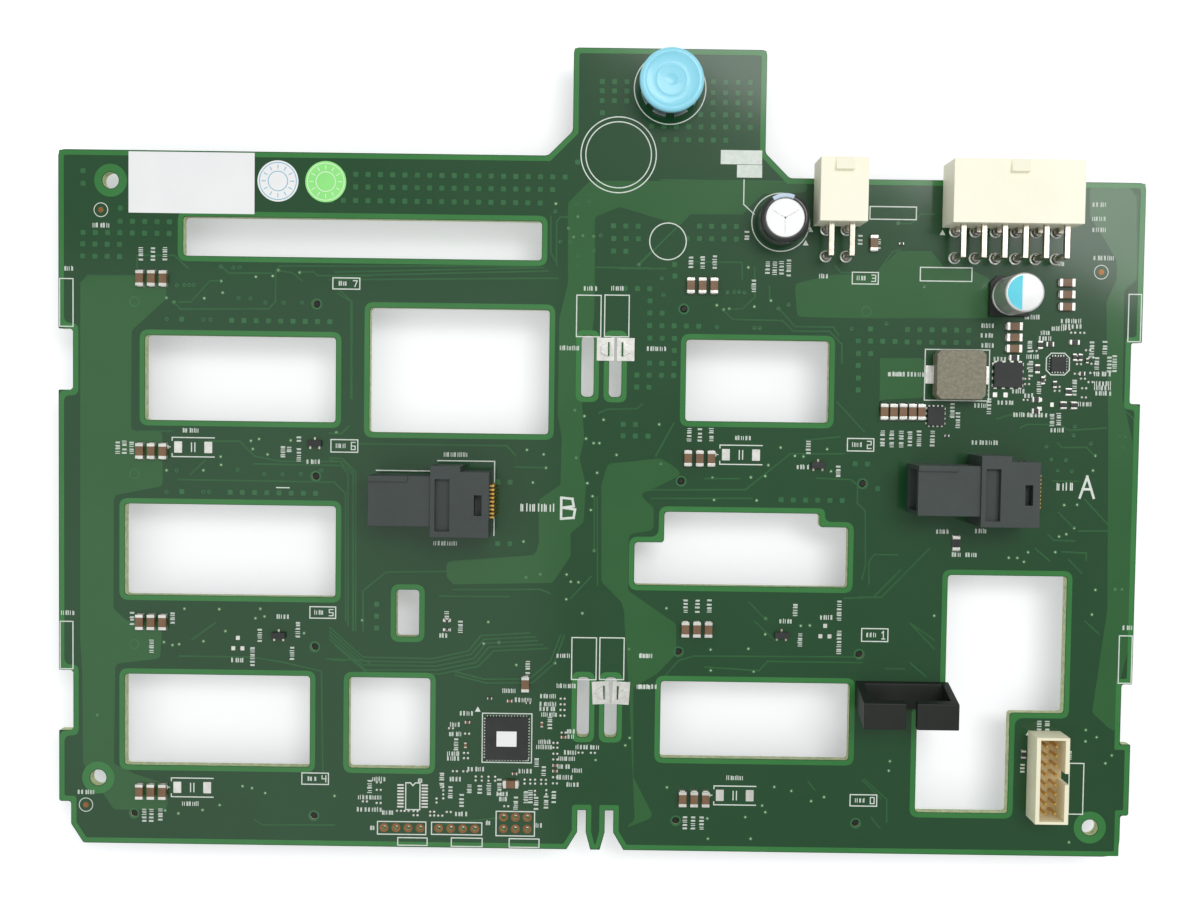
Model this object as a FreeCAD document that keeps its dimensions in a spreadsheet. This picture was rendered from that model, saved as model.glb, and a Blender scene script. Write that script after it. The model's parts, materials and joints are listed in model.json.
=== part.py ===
import FreeCAD, Part
import Sketcher
import math
import os
import re

# Drive backplane board for eight drive bays, in millimetres.
# The board lies flat with its component side up (+Z) and rests on the eight drive receptacles of its
# far side. +Y points to the tab with the release plunger. The origin is on the resting surface,
# under the centre of the board's outline.

SIZES = {
    # board outline
    "board_width": 225.3,
    "board_depth": 167.4,
    "board_thickness": 2.36,
    "left_shoulder_drop": 22.2,
    "right_shoulder_drop": 26.2,
    "tab_centre_x": 13.8,
    "tab_width": 39.9,
    "tab_foot_chamfer": 5.1,
    "tab_corner_radius": 1.2,
    "outline_corner_radius": 1.5,
    "foot_corner_radius": 3.6,
    "foot_inset_left": 2.5,
    "foot_inset_right": 1.7,
    "foot_inset_height": 8.8,
    "foot_chamfer_x": 2.6,
    "foot_chamfer_y": 4.0,
    # hook slots and edge notches for the chassis hooks, in two rows
    "hook_row_upper_y": 18.1,
    "hook_row_lower_y": -53.4,
    "hook_length": 12.7,
    "hook_slot_width": 2.6,
    "hook_slot_corner": 0.6,
    "hook_slot_centre_x": 0.4,
    "hook_slot_spacing": 5.8,
    "edge_notch_depth_left": 3.0,
    "edge_notch_depth_right": 2.2,
    # guide notches in the bottom edge
    "guide_notch_width": 1.8,
    "guide_notch_height": 8.4,
    "guide_flare_height": 3.7,
    "guide_flare_outer": 2.2,
    "guide_flare_inner": 1.0,
    # cut-outs, each by its centre, length and height
    "cable_slot_x": -49.5,
    "cable_slot_y": 43.9,
    "cable_slot_length": 74.4,
    "cable_slot_height": 8.05,
    "upper_left_vent_x": -74.75,
    "upper_left_vent_y": 14.5,
    "upper_left_vent_length": 39.7,
    "upper_left_vent_height": 17.65,
    "main_vent_x": -29.15,
    "main_vent_y": 16.7,
    "main_vent_length": 37.3,
    "main_vent_height": 25.85,
    "middle_left_vent_x": -76.75,
    "middle_left_vent_y": -21.4,
    "middle_left_vent_length": 44.1,
    "middle_left_vent_height": 19.1,
    "lower_left_vent_x": -79.35,
    "lower_left_vent_y": -57.3,
    "lower_left_vent_length": 38.9,
    "lower_left_vent_height": 19.25,
    "key_window_x": -39.5,
    "key_window_y": -34.1,
    "key_window_length": 4.8,
    "key_window_height": 9.85,
    "square_vent_x": -43.15,
    "square_vent_y": -57.35,
    "square_vent_length": 17.05,
    "square_vent_height": 19.15,
    "upper_right_vent_x": 32.9,
    "upper_right_vent_y": 15.45,
    "upper_right_vent_length": 29.75,
    "upper_right_vent_height": 16.95,
    "lower_right_vent_x": 33.6,
    "lower_right_vent_y": -55.8,
    "lower_right_vent_length": 39.65,
    "lower_right_vent_height": 16.2,
    # vent with a step in each upper corner
    "stepped_vent_left": 7.85,
    "stepped_vent_bottom": -27.45,
    "stepped_vent_length": 44.6,
    "stepped_vent_height": 15.4,
    "left_step_length": 6.15,
    "left_step_drop": 6.45,
    "right_step_length": 6.05,
    "right_step_drop": 2.8,
    # tall cut-out whose lower part is shifted to the left
    "tall_cutout_left": 73.5,
    "tall_cutout_top": -24.5,
    "tall_cutout_length": 24.9,
    "tall_cutout_height": 28.8,
    "tall_foot_left": 67.7,
    "tall_foot_length": 19.4,
    "tall_foot_height": 21.4,
    "cutout_corner": 0.5,
    # tooling holes
    "tooling_hole_diameter": 3.4,
    # drive receptacles on the far side, in two columns of four
    "receptacle_column_x": -77.89,
    "receptacle_column_pitch": 114.2,
    "receptacle_row_y": 30.23,
    "receptacle_row_pitch": 35.84,
    "receptacle_height": 8.5,
    "receptacle_flange_length": 43.4,
    "receptacle_flange_width": 7.6,
    "receptacle_flange_height": 2.4,
    "receptacle_body_length": 37.4,
    "receptacle_body_width": 5.8,
    "receptacle_post_length": 2.2,
    "receptacle_post_width": 4.6,
    "receptacle_post_chamfer": 0.9,
    "drive_slot_length": 34.0,
    "drive_slot_width": 2.4,
    "drive_slot_depth": 6.0,
    "drive_slot_key_length": 1.4,
    "drive_slot_key_width": 1.2,
    "drive_slot_offset_y": 0.3,
    "peg_spacing": 37.9,
    "peg_diameter": 1.3,
    "peg_clearance": 0.1,
    "peg_depth": 2.0,
    "contact_pitch": 1.27,
    "contact_width": 0.7,
    "contact_thickness": 0.3,
    "contact_mouth_gap": 0.9,
    "signal_contact_x": -11.9,
    "power_contact_x": 5.6,
    # right-angle power headers
    "power_pitch": 4.2,
    "power_row_pitch": 5.5,
    "main_header_x": 83.8,
    "accessory_header_x": 48.7,
    "power_header_rear_y": 47.7,
    "power_header_depth": 12.8,
    "power_header_height": 9.6,
    "power_header_margin": 1.2,
    "power_header_back_wall": 2.9,
    "power_cell_width": 3.4,
    "power_cell_chamfer": 0.9,
    "power_pin_width": 1.07,
    "power_pin_setback": 2.4,
    "power_pin_near_row": 0.7,
    "power_pin_tail": 3.3,
    "power_pin_hole_diameter": 1.8,
    "latch_width": 3.7,
    "latch_length": 2.6,
    "latch_height": 1.1,
    # right-angle data cable connectors
    "data_connector_a_x": 77.2,
    "data_connector_a_y": -6.3,
    "data_connector_b_x": -33.8,
    "data_connector_b_y": -9.85,
    "data_block_length": 11.9,
    "data_block_height": 10.8,
    "data_block_half_width": 7.2,
    "data_block_step_width": 1.15,
    "data_ear_length": 6.1,
    "data_guide_length": 12.6,
    "data_guide_width": 10.2,
    "data_guide_height": 10.2,
    "data_rib_length": 8.0,
    "data_rib_width": 1.2,
    "data_rib_height": 0.4,
    "data_mouth_width": 8.4,
    "data_mouth_height": 7.6,
    "data_mouth_floor": 1.2,
    "data_mouth_depth": 11.6,
    "latch_pocket_x": 2.45,
    "latch_pocket_y": -0.7,
    "latch_pocket_length": 2.9,
    "latch_pocket_width": 10.5,
    "latch_pocket_depth": 1.4,
    "vent_pocket_x": 9.65,
    "vent_pocket_y": -0.65,
    "vent_pocket_length": 1.5,
    "vent_pocket_width": 4.1,
    "vent_pocket_depth": 2.5,
    "data_contact_pitch": 0.8,
    "data_contact_width": 0.4,
    "data_contact_thickness": 0.25,
    "data_contact_reach": 8.0,
    "data_lower_contact_z": 1.9,
    "data_upper_contact_z": 8.1,
    "data_lower_tail": 0.4,
    "data_upper_tail": 0.9,
    # signal box header
    "signal_header_x": 94.45,
    "signal_header_y": -66.1,
    "signal_header_width": 6.8,
    "signal_header_length": 18.0,
    "signal_header_height": 6.5,
    "signal_cavity_width": 5.1,
    "signal_cavity_length": 16.9,
    "signal_cavity_depth": 5.2,
    "signal_key_width": 2.3,
    "signal_key_y": 0.45,
    "signal_pin_pitch": 2.0,
    "signal_pin_width": 0.5,
    "signal_pin_height": 5.6,
    # release plunger
    "plunger_y": 75.6,
    "flange_diameter": 12.2,
    "flange_height": 1.4,
    "flange_notch_width": 1.7,
    "flange_notch_depth": 0.8,
    "barrel_diameter": 9.2,
    "barrel_height": 5.4,
    "shank_diameter": 7.5,
    "shank_clearance": 0.1,
    "chamber_diameter": 6.2,
    "lid_thickness": 0.6,
    "lip_thickness": 0.5,
    "nose_diameter": 4.0,
    "nose_guide_diameter": 4.6,
    "nose_reach": 3.0,
    "nose_chamfer": 0.6,
    "nose_guide_gap": 0.1,
    "shaft_diameter": 3.0,
    "running_clearance": 0.06,
    "collar_diameter": 5.8,
    "collar_thickness": 1.0,
    "knob_diameter": 13.0,
    "knob_neck_diameter": 7.6,
    "knob_height": 3.1,
    "knob_flare_height": 1.3,
    "knob_rim": 0.6,
    "knob_gap": 0.15,
    "spring_mean_diameter": 4.8,
    "spring_wire": 0.45,
    "spring_turns": 4,
    # bulk capacitor with radial leads
    "bulk_capacitor_x": 37.14,
    "bulk_capacitor_y": 48.4,
    "bulk_capacitor_diameter": 10.0,
    "bulk_capacitor_height": 8.0,
    "bulk_capacitor_rim": 0.4,
    "bulk_lead_spacing": 5.0,
    "bulk_lead_diameter": 0.6,
    "bulk_lead_tail": 3.2,
    "bulk_lead_hole_diameter": 1.0,
    # filter capacitor, surface mount
    "filter_capacitor_x": 84.7,
    "filter_capacitor_y": 33.7,
    "filter_base_width": 8.3,
    "filter_base_height": 1.2,
    "filter_base_chamfer": 1.4,
    "filter_can_diameter": 8.0,
    "filter_can_height": 10.7,
    "filter_can_rim": 0.6,
    # power inductor
    "inductor_x": 74.4,
    "inductor_y": 17.3,
    "inductor_width": 10.2,
    "inductor_height": 4.0,
    "inductor_chamfer": 0.9,
    "terminal_width": 3.8,
    "terminal_foot": 1.5,
    "terminal_rise": 1.6,
    "terminal_thickness": 0.25,
    # chips
    "chip_height": 0.9,
    "chip_corner_cut": 0.35,
    "bay_controller_width": 9.0,
    "bay_controller_x": -18.43,
    "bay_controller_y": -60.2,
    "sticker_thickness": 0.1,
    "chip_sticker_length": 4.2,
    "chip_sticker_width": 3.2,
    # small parts
    "bay_capacitor_x": -15.2,
    "bay_capacitor_y": 4.83,
    "bay_capacitor_pitch": 2.42,
    "capacitor_length": 3.2,
    "capacitor_width": 1.6,
    "capacitor_height": 1.2,
    "transistor_length": 2.9,
    "transistor_width": 1.3,
    "transistor_height": 1.0,
    "transistor_lead_width": 0.42,
    "transistor_lead_reach": 0.6,
    "transistor_lead_thickness": 0.15,
    "transistor_lead_pitch": 0.95,
    "small_chip_height": 0.5,
    # contact plates beside the hook slots
    "contact_plate_width": 3.65,
    "contact_plate_length": 4.8,
    "contact_plate_thickness": 0.3,
    "contact_plate_gap": 0.55,
    "upper_contact_y": 21.65,
    "lower_contact_y": -50.3,
    "louvre_reach": 1.45,
    "louvre_nose": 1.4,
    "louvre_height": 0.5,
    "louvre_slot_width": 0.45,
    # cable clip
    "clip_x": 64.4,
    "clip_back_y": -47.0,
    "clip_width": 19.4,
    "clip_depth": 5.4,
    "clip_height": 10.0,
    "clip_lean": 2.7,
    "clip_wall": 1.6,
    "clip_floor": 1.2,
    "clip_slit": 2.2,
    "clip_foot_width": 3.0,
    "clip_foot_thickness": 1.0,
    "clip_foot_clearance": 0.1,
    "clip_barb_width": 3.9,
    "clip_barb_length": 1.5,
    # labels
    "label_length": 26.1,
    "label_height": 12.6,
    "label_x": -85.0,
    "label_y": 54.9,
    "dot_diameter": 8.5,
    "dot_y": 55.5,
    "white_dot_x": -67.1,
    "green_dot_x": -57.2,
}

# Cut-outs that are plain rectangles
CUTOUTS = (
    "cable_slot", "upper_left_vent", "main_vent", "middle_left_vent", "lower_left_vent",
    "key_window", "square_vent", "upper_right_vent", "lower_right_vent",
)

# Tooling holes at three corners, from the board's centre
TOOLING_HOLES = ((-101.8, 55.2), (-104.4, -69.8), (104.6, -77.5))

# Ceramic capacitors of the power section: centre and True where the long side lies along X
POWER_CAPACITORS = (
    (85.9, 27.5, True), (85.9, 25.2, True), (85.9, 22.9, True),
    (96.55, 36.65, True), (96.6, 34.2, True), (96.65, 31.7, True),
    (59.3, 9.45, False), (61.25, 9.45, False), (63.2, 9.5, False), (65.15, 9.5, False), (67.05, 9.5, False),
    (56.45, 44.3, False), (-14.65, -48.65, False), (-17.45, -69.8, True),
)

# Chip resistors and small capacitors: centre, length along X, width along Y
SMALL_CHIPS = (
    (86.1, 21.0, 2.0, 1.2), (91.5, 23.75, 1.0, 1.6), (93.5, 23.9, 1.6, 1.0), (98.6, 24.4, 2.0, 1.0),
    (91.0, 18.8, 1.0, 1.8), (92.2, 16.4, 0.8, 1.6), (98.7, 21.3, 0.8, 1.4), (99.9, 21.3, 0.8, 1.4),
    (101.3, 20.6, 0.6, 1.0), (97.6, 14.1, 1.3, 1.5), (96.6, 11.3, 1.3, 1.5), (98.8, 11.3, 1.3, 1.5),
    (90.9, 12.4, 1.6, 1.1), (90.9, 10.0, 1.6, 1.1), (94.7, 15.6, 0.8, 1.4), (100.3, 17.9, 1.2, 0.8),
    (62.2, 44.3, 1.0, 0.5), (72.5, 4.6, 1.0, 0.5), (90.2, -62.1, 1.0, 1.6), (-31.2, -35.6, 1.0, 0.5),
    (-31.2, -37.4, 1.0, 0.5), (-22.1, -51.8, 1.0, 0.5), (-14.0, -52.6, 1.0, 0.5), (75.0, -17.8, 1.6, 2.9),
)

# Transistors with three leads: centre
TRANSISTORS = ((-59.15, 1.3), (-66.5, -39.1), (45.85, -1.85), (38.9, -37.6))

# Chips of the power section: name, centre, length along X, width along Y
POWER_CHIPS = (
    ("regulator_switch_chip", 84.9, 17.45, 5.9, 5.2),
    ("regulator_controller_chip", 95.3, 19.85, 3.1, 3.1),
    ("load_switch_chip", 70.1, 8.7, 3.5, 3.9),
)

ROWS = 4
SIGNAL_COLUMNS = 8
MAIN_COLUMNS = 6
ACCESSORY_COLUMNS = 2
SIGNAL_CONTACTS = 7
POWER_CONTACTS = 15
DATA_CONTACTS = 9
FLANGE_NOTCHES = 8
SPRING_STEPS = 8
HOLE_SIDES = 8
LEAD_SIDES = 6
DOT_SIDES = 24

BOARD_TOP = "receptacle_height + board_thickness"
BOARD_REAR = "receptacle_height"

doc = FreeCAD.newDocument("drive_backplane_board")
sheet = doc.addObject("Spreadsheet::Sheet", "sizes")
for row, (alias, number) in enumerate(SIZES.items(), start=1):
    sheet.set(f"A{row}", alias)
    sheet.set(f"B{row}", str(number))
    sheet.setAlias(f"B{row}", alias)
doc.recompute()

nodes = []


def bind(text):
    """Point each size's name in an expression at its cell in the sheet."""
    return re.sub(r"[a-z][a-z_0-9]*", lambda m: "sizes." + m.group() if m.group() in SIZES else m.group(), str(text))


def value(text):
    """Work out an expression of sizes as a number."""
    return float(sheet.evalExpression(bind(text)))


def node(item, name, x="0", y="0", z=BOARD_TOP, turn=0.0):
    """Name a finished sub-part, turn it about +Z and put it where the expressions say."""
    item.Label = name
    item.Placement = FreeCAD.Placement(FreeCAD.Vector(), FreeCAD.Rotation(FreeCAD.Vector(0, 0, 1), turn))
    for axis, text in zip("xyz", (x, y, z)):
        item.setExpression(f"Placement.Base.{axis}", bind(text))
    nodes.append(item)
    return item


def new_body(name):
    return doc.addObject("PartDesign::Body", name)


def origin_feature(body, role):
    return next(item for item in body.Origin.OriginFeatures if item.Role == role)


def new_sketch(body, role, level="0"):
    """Start a sketch on one of the body's origin planes, moved along +X, +Y or +Z to the level."""
    sketch = body.newObject("Sketcher::SketchObject", "sketch")
    sketch.AttachmentSupport = (origin_feature(body, role), [""])
    sketch.MapMode = "FlatFace"
    along_normal = f"-({level})" if role == "XZ_Plane" else level
    sketch.setExpression("AttachmentOffset.Base.z", bind(along_normal))
    return sketch


def polygon(sketch, corners):
    """Draw a closed loop of straight edges, each corner tied to a pair of expressions."""
    points = [FreeCAD.Vector(value(x), value(y), 0) for x, y in corners]
    first = sketch.GeometryCount
    count = len(points)
    sketch.addGeometry([Part.LineSegment(points[i], points[(i + 1) % count]) for i in range(count)])
    rules = [Sketcher.Constraint("Coincident", first + i, 2, first + (i + 1) % count, 1) for i in range(count)]
    for i, point in enumerate(points):
        rules.append(Sketcher.Constraint("DistanceX", -1, 1, first + i, 1, point.x))
        rules.append(Sketcher.Constraint("DistanceY", -1, 1, first + i, 1, point.y))
    numbers = sketch.addConstraint(rules)[count:]
    for i, (x, y) in enumerate(corners):
        sketch.setExpression(f"Constraints[{numbers[2 * i]}]", bind(x))
        sketch.setExpression(f"Constraints[{numbers[2 * i + 1]}]", bind(y))


def rectangle(sketch, x, y, length, width):
    """Draw a rectangle about the centre x, y."""
    left, right = f"{x} - ({length}) / 2", f"{x} + ({length}) / 2"
    low, high = f"{y} - ({width}) / 2", f"{y} + ({width}) / 2"
    polygon(sketch, [(left, low), (right, low), (right, high), (left, high)])


def cut_rectangle(sketch, x, y, length, width, cut):
    """Draw a rectangle about the centre x, y with its four corners cut off."""
    corners = []
    for sx, sy in ((-1, -1), (1, -1), (1, 1), (-1, 1)):
        far_x, far_y = f"{x} + {sx} * ({length}) / 2", f"{y} + {sy} * ({width}) / 2"
        ends = [(far_x, f"{far_y} - {sy} * {cut}"), (f"{far_x} - {sx} * {cut}", far_y)]
        corners += ends if sx * sy > 0 else ends[::-1]
    polygon(sketch, corners)


def circle(sketch, x, y, diameter):
    """Draw a circle tied to its centre and diameter."""
    centre = FreeCAD.Vector(value(x), value(y), 0)
    index = sketch.addGeometry(Part.Circle(centre, FreeCAD.Vector(0, 0, 1), value(diameter) / 2))
    numbers = sketch.addConstraint([
        Sketcher.Constraint("DistanceX", -1, 1, index, 3, centre.x),
        Sketcher.Constraint("DistanceY", -1, 1, index, 3, centre.y),
        Sketcher.Constraint("Diameter", index, value(diameter)),
    ])
    for number, text in zip(numbers, (x, y, diameter)):
        sketch.setExpression(f"Constraints[{number}]", bind(text))


def prism(body, kind, x, y, z, diameter, height, sides):
    """Add or cut a small upright prism that stands on z, its corners on a circle."""
    feature = body.newObject(f"PartDesign::{kind}Prism", "prism")
    feature.Refine = False
    feature.Polygon = sides
    feature.setExpression("Circumradius", bind(f"({diameter}) / 2"))
    feature.setExpression("Height", bind(height))
    for axis, text in zip("xyz", (x, y, z)):
        feature.setExpression(f"Placement.Base.{axis}", bind(text))
    return feature


def pad(body, sketch, length, symmetric=False):
    feature = body.newObject("PartDesign::Pad", "pad")
    feature.Profile = sketch
    feature.setExpression("Length", bind(length))
    if symmetric:
        feature.SideType = "Symmetric"
    sketch.Visibility = False
    return feature


def pocket(body, sketch, length=None):
    """Cut from the sketch against its plane's normal, right through where no length is given."""
    feature = body.newObject("PartDesign::Pocket", "pocket")
    feature.Profile = sketch
    if length is None:
        feature.Type = "ThroughAll"
    else:
        feature.setExpression("Length", bind(length))
    return feature


def revolve(body, sketch):
    feature = body.newObject("PartDesign::Revolution", "revolution")
    feature.Profile = sketch
    feature.ReferenceAxis = (sketch, ["V_Axis"])
    feature.Angle = 360
    return feature


def row_of(body, features, role, pitch, count):
    """Repeat features in a straight row along one of the body's axes."""
    pattern = body.newObject("PartDesign::LinearPattern", "row")
    pattern.Originals = features
    pattern.Direction = (origin_feature(body, role), [""])
    pattern.Mode = "Spacing"
    pattern.setExpression("Offset", bind(pitch))
    pattern.Occurrences = count
    body.Tip = pattern
    return pattern


def round_edges(body, base, radius, wanted, kind="PartDesign::Fillet"):
    """Round, or chamfer, the edges of a feature that the test picks."""
    doc.recompute()
    names = [f"Edge{i}" for i, edge in enumerate(base.Shape.Edges, start=1) if wanted(edge)]
    feature = body.newObject(kind, "edges")
    feature.Base = (base, names)
    feature.setExpression("Radius" if kind.endswith("Fillet") else "Size", bind(radius))
    return feature


def upright_at(points):
    """Test for upright edges that stand on one of the points."""
    def wanted(edge):
        low, high = edge.Vertexes[0].Point, edge.Vertexes[-1].Point
        if math.hypot(low.x - high.x, low.y - high.y) > 1e-6:
            return False
        return any(math.hypot(low.x - x, low.y - y) < 1e-3 for x, y in points)
    return wanted


def box(name, length, width, height, x, y, z):
    """A rectangular block about x, y that stands on z."""
    item = doc.addObject("Part::Box", name)
    for prop, text in (("Length", length), ("Width", width), ("Height", height)):
        item.setExpression(prop, bind(text))
    item.setExpression("Placement.Base.x", bind(f"{x} - ({length}) / 2"))
    item.setExpression("Placement.Base.y", bind(f"{y} - ({width}) / 2"))
    item.setExpression("Placement.Base.z", bind(z))
    return item


def group(name, items):
    """Several equal pieces kept as one sub-part."""
    item = doc.addObject("Part::Compound", name)
    item.Links = items
    item.Label = name
    nodes.append(item)
    return item


def outline_corners():
    """Corners of the board's edge, clockwise from the upper left."""
    left, right = "-board_width / 2", "board_width / 2"
    top, bottom = "board_depth / 2", "-board_depth / 2"
    left_shoulder = f"{top} - left_shoulder_drop"
    right_shoulder = f"{top} - right_shoulder_drop"
    tab_left, tab_right = "tab_centre_x - tab_width / 2", "tab_centre_x + tab_width / 2"
    notch_left = f"{left} + edge_notch_depth_left"
    notch_right = f"{right} - edge_notch_depth_right"
    foot_left, foot_right = f"{left} + foot_inset_left", f"{right} - foot_inset_right"
    foot_top = f"{bottom} + foot_inset_height"
    hooks = [(f"{y} + hook_length / 2", f"{y} - hook_length / 2") for y in ("hook_row_upper_y", "hook_row_lower_y")]
    corners = [
        (left, left_shoulder),
        (f"{tab_left} - tab_foot_chamfer", left_shoulder),
        (tab_left, f"{left_shoulder} + tab_foot_chamfer"),
        (tab_left, top),
        (tab_right, top),
        (tab_right, f"{right_shoulder} + tab_foot_chamfer"),
        (f"{tab_right} + tab_foot_chamfer", right_shoulder),
        (right, right_shoulder),
    ]
    for high, low in hooks:
        corners += [(right, high), (notch_right, high), (notch_right, low), (right, low)]
    corners += [(right, foot_top), (foot_right, foot_top), (foot_right, bottom)]
    for side in (1, -1):
        corners += guide_notch(side)
    corners += [
        (f"{foot_left} + foot_chamfer_x", bottom),
        (foot_left, f"{bottom} + foot_chamfer_y"),
        (foot_left, foot_top),
        (left, foot_top),
    ]
    for high, low in reversed(hooks):
        corners += [(left, low), (notch_left, low), (notch_left, high), (left, high)]
    return corners


def guide_notch(side):
    """Corners of one guide notch, right to left, with its wide flare away from the other notch."""
    bottom = "-board_depth / 2"
    middle = f"hook_slot_centre_x + ({side}) * hook_slot_spacing / 2"
    right_flare, left_flare = ("guide_flare_outer", "guide_flare_inner")[::side]
    right, left = f"{middle} + guide_notch_width / 2", f"{middle} - guide_notch_width / 2"
    return [
        (f"{right} + {right_flare}", bottom),
        (right, f"{bottom} + guide_flare_height"),
        (right, f"{bottom} + guide_notch_height"),
        (left, f"{bottom} + guide_notch_height"),
        (left, f"{bottom} + guide_flare_height"),
        (f"{left} - {left_flare}", bottom),
    ]


def stepped_vent_corners():
    left, bottom = "stepped_vent_left", "stepped_vent_bottom"
    right, top = f"{left} + stepped_vent_length", f"{bottom} + stepped_vent_height"
    return [
        (left, bottom), (right, bottom),
        (right, f"{top} - right_step_drop"), (f"{right} - right_step_length", f"{top} - right_step_drop"),
        (f"{right} - right_step_length", top), (f"{left} + left_step_length", top),
        (f"{left} + left_step_length", f"{top} - left_step_drop"), (left, f"{top} - left_step_drop"),
    ]


def tall_cutout_corners():
    left, top = "tall_cutout_left", "tall_cutout_top"
    right, waist = f"{left} + tall_cutout_length", f"{top} - tall_cutout_height"
    foot_left, foot_right = "tall_foot_left", "tall_foot_left + tall_foot_length"
    bottom = f"{waist} - tall_foot_height"
    return [
        (foot_left, bottom), (foot_right, bottom), (foot_right, waist), (right, waist),
        (right, top), (left, top), (left, waist), (foot_left, waist),
    ]


def receptacle_centres():
    """Centre of each drive receptacle, row by row from the upper left."""
    return [
        (f"receptacle_column_x + {column} * receptacle_column_pitch",
         f"receptacle_row_y - {row} * receptacle_row_pitch")
        for row in range(ROWS) for column in (0, 1)
    ]


def header_columns(count):
    """Offset of each pin column of a power header from its centre."""
    return [f"{i - (count - 1) / 2} * power_pitch" for i in range(count)]


def power_pin_drops():
    """How far each row of power pins stands behind its header."""
    return "power_pin_near_row", "(power_pin_near_row + power_row_pitch)"


def small_hole(body, x, y, diameter, sides):
    """Cut a small many-sided hole right through the board."""
    return prism(body, "Subtractive", x, y, "0", diameter, "board_thickness", sides)


def make_board():
    """One routed laminate: outline, cut-outs, hook slots and holes."""
    body = new_body("board_body")
    outer = outline_corners()
    sketch = new_sketch(body, "XY_Plane")
    polygon(sketch, outer)
    plate = pad(body, sketch, "board_thickness")
    corner_at = [(value(x), value(y)) for x, y in outer]
    tab = round_edges(body, plate, "tab_corner_radius", upright_at(corner_at[3:5]))
    shoulders = round_edges(body, tab, "outline_corner_radius", upright_at([corner_at[0], corner_at[7]]))
    round_edges(body, shoulders, "foot_corner_radius", upright_at([corner_at[18]]))

    sketch = new_sketch(body, "XY_Plane", "board_thickness")
    for name in CUTOUTS:
        cut_rectangle(sketch, f"{name}_x", f"{name}_y", f"{name}_length", f"{name}_height", "cutout_corner")
    stepped, tall = stepped_vent_corners(), tall_cutout_corners()
    for corners in (stepped, tall):
        polygon(sketch, corners)
    cuts = pocket(body, sketch)
    inner = [(value(x), value(y)) for x, y in stepped + tall]
    round_edges(body, cuts, "cutout_corner", upright_at(inner), "PartDesign::Chamfer")

    sketch = new_sketch(body, "XY_Plane", "board_thickness")
    for row in ("hook_row_upper_y", "hook_row_lower_y"):
        for side in (-1, 1):
            x = f"hook_slot_centre_x + {side} * hook_slot_spacing / 2"
            cut_rectangle(sketch, x, row, "hook_slot_width", "hook_length", "hook_slot_corner")
    for x, y in TOOLING_HOLES:
        circle(sketch, str(x), str(y), "tooling_hole_diameter")
    circle(sketch, "tab_centre_x", "plunger_y", "shank_diameter + 2 * shank_clearance")
    circle(sketch, "clip_x", "clip_back_y - clip_depth / 2", "clip_foot_width + 2 * clip_foot_clearance")
    pocket(body, sketch)

    for count, x in ((MAIN_COLUMNS, "main_header_x"), (ACCESSORY_COLUMNS, "accessory_header_x")):
        holes = [small_hole(body, f"{x} + {header_columns(count)[0]}", f"power_header_rear_y - {drop}",
                            "power_pin_hole_diameter", HOLE_SIDES) for drop in power_pin_drops()]
        row_of(body, holes, "X_Axis", "power_pitch", count)
    lowest = receptacle_centres()[-2:]
    holes = [small_hole(body, f"{x} + {side} * peg_spacing / 2", y, "peg_diameter + 2 * peg_clearance", HOLE_SIDES)
             for x, y in lowest for side in (-1, 1)]
    row_of(body, holes, "Y_Axis", "receptacle_row_pitch", ROWS)
    for x, y in capacitor_leads():
        small_hole(body, f"bulk_capacitor_x + {x}", f"bulk_capacitor_y + {y}", "bulk_lead_hole_diameter", LEAD_SIDES)
    node(body, "circuit_board", z=BOARD_REAR)


def make_receptacle(number, x, y):
    """Blind-mate drive receptacle: flanged housing with a keyed slot, end posts and two pegs."""
    body = new_body("receptacle_body")
    sketch = new_sketch(body, "XY_Plane", "receptacle_height - receptacle_flange_height")
    rectangle(sketch, "0", "0", "receptacle_flange_length", "receptacle_flange_width")
    pad(body, sketch, "receptacle_flange_height")
    sketch = new_sketch(body, "XY_Plane")
    rectangle(sketch, "0", "0", "receptacle_body_length", "receptacle_body_width")
    pad(body, sketch, "receptacle_height")
    sketch = new_sketch(body, "XY_Plane")
    for side in (-1, 1):
        rectangle(sketch, f"{side} * (receptacle_body_length + receptacle_post_length) / 2", "0",
                  "receptacle_post_length", "receptacle_post_width")
    posts = pad(body, sketch, "receptacle_height")

    half = value("receptacle_body_length / 2 + receptacle_post_length")

    def outer_foot(edge):
        ends = [vertex.Point for vertex in edge.Vertexes]
        return all(abs(abs(p.x) - half) < 1e-3 and abs(p.z) < 1e-3 for p in ends)

    round_edges(body, posts, "receptacle_post_chamfer", outer_foot, "PartDesign::Chamfer")

    for side in (-1, 1):
        prism(body, "Additive", f"{side} * peg_spacing / 2", "0", "receptacle_height", "peg_diameter", "peg_depth",
              HOLE_SIDES)

    half_slot, low = "drive_slot_length / 2", "drive_slot_offset_y - drive_slot_width / 2"
    high = "drive_slot_offset_y + drive_slot_width / 2"
    sketch = new_sketch(body, "XY_Plane", "drive_slot_depth")
    polygon(sketch, [
        (f"-({half_slot})", f"{low} - drive_slot_key_width"),
        (f"-({half_slot}) + drive_slot_key_length", f"{low} - drive_slot_key_width"),
        (f"-({half_slot}) + drive_slot_key_length", low),
        (f"{half_slot} - drive_slot_key_length", low),
        (f"{half_slot} - drive_slot_key_length", f"{low} - drive_slot_key_width"),
        (half_slot, f"{low} - drive_slot_key_width"),
        (half_slot, high),
        (f"-({half_slot})", high),
    ])
    pocket(body, sketch)

    # windows in the slot's floor that the contacts stand in
    sketch = new_sketch(body, "XY_Plane", "receptacle_height")
    for middle, count in contact_groups():
        rectangle(sketch, middle, contact_y(), f"contact_pitch * ({count} - 1) + contact_width", "contact_thickness")
    pocket(body, sketch)
    node(body, f"drive_receptacle_{number}", x, y, "0")


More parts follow.
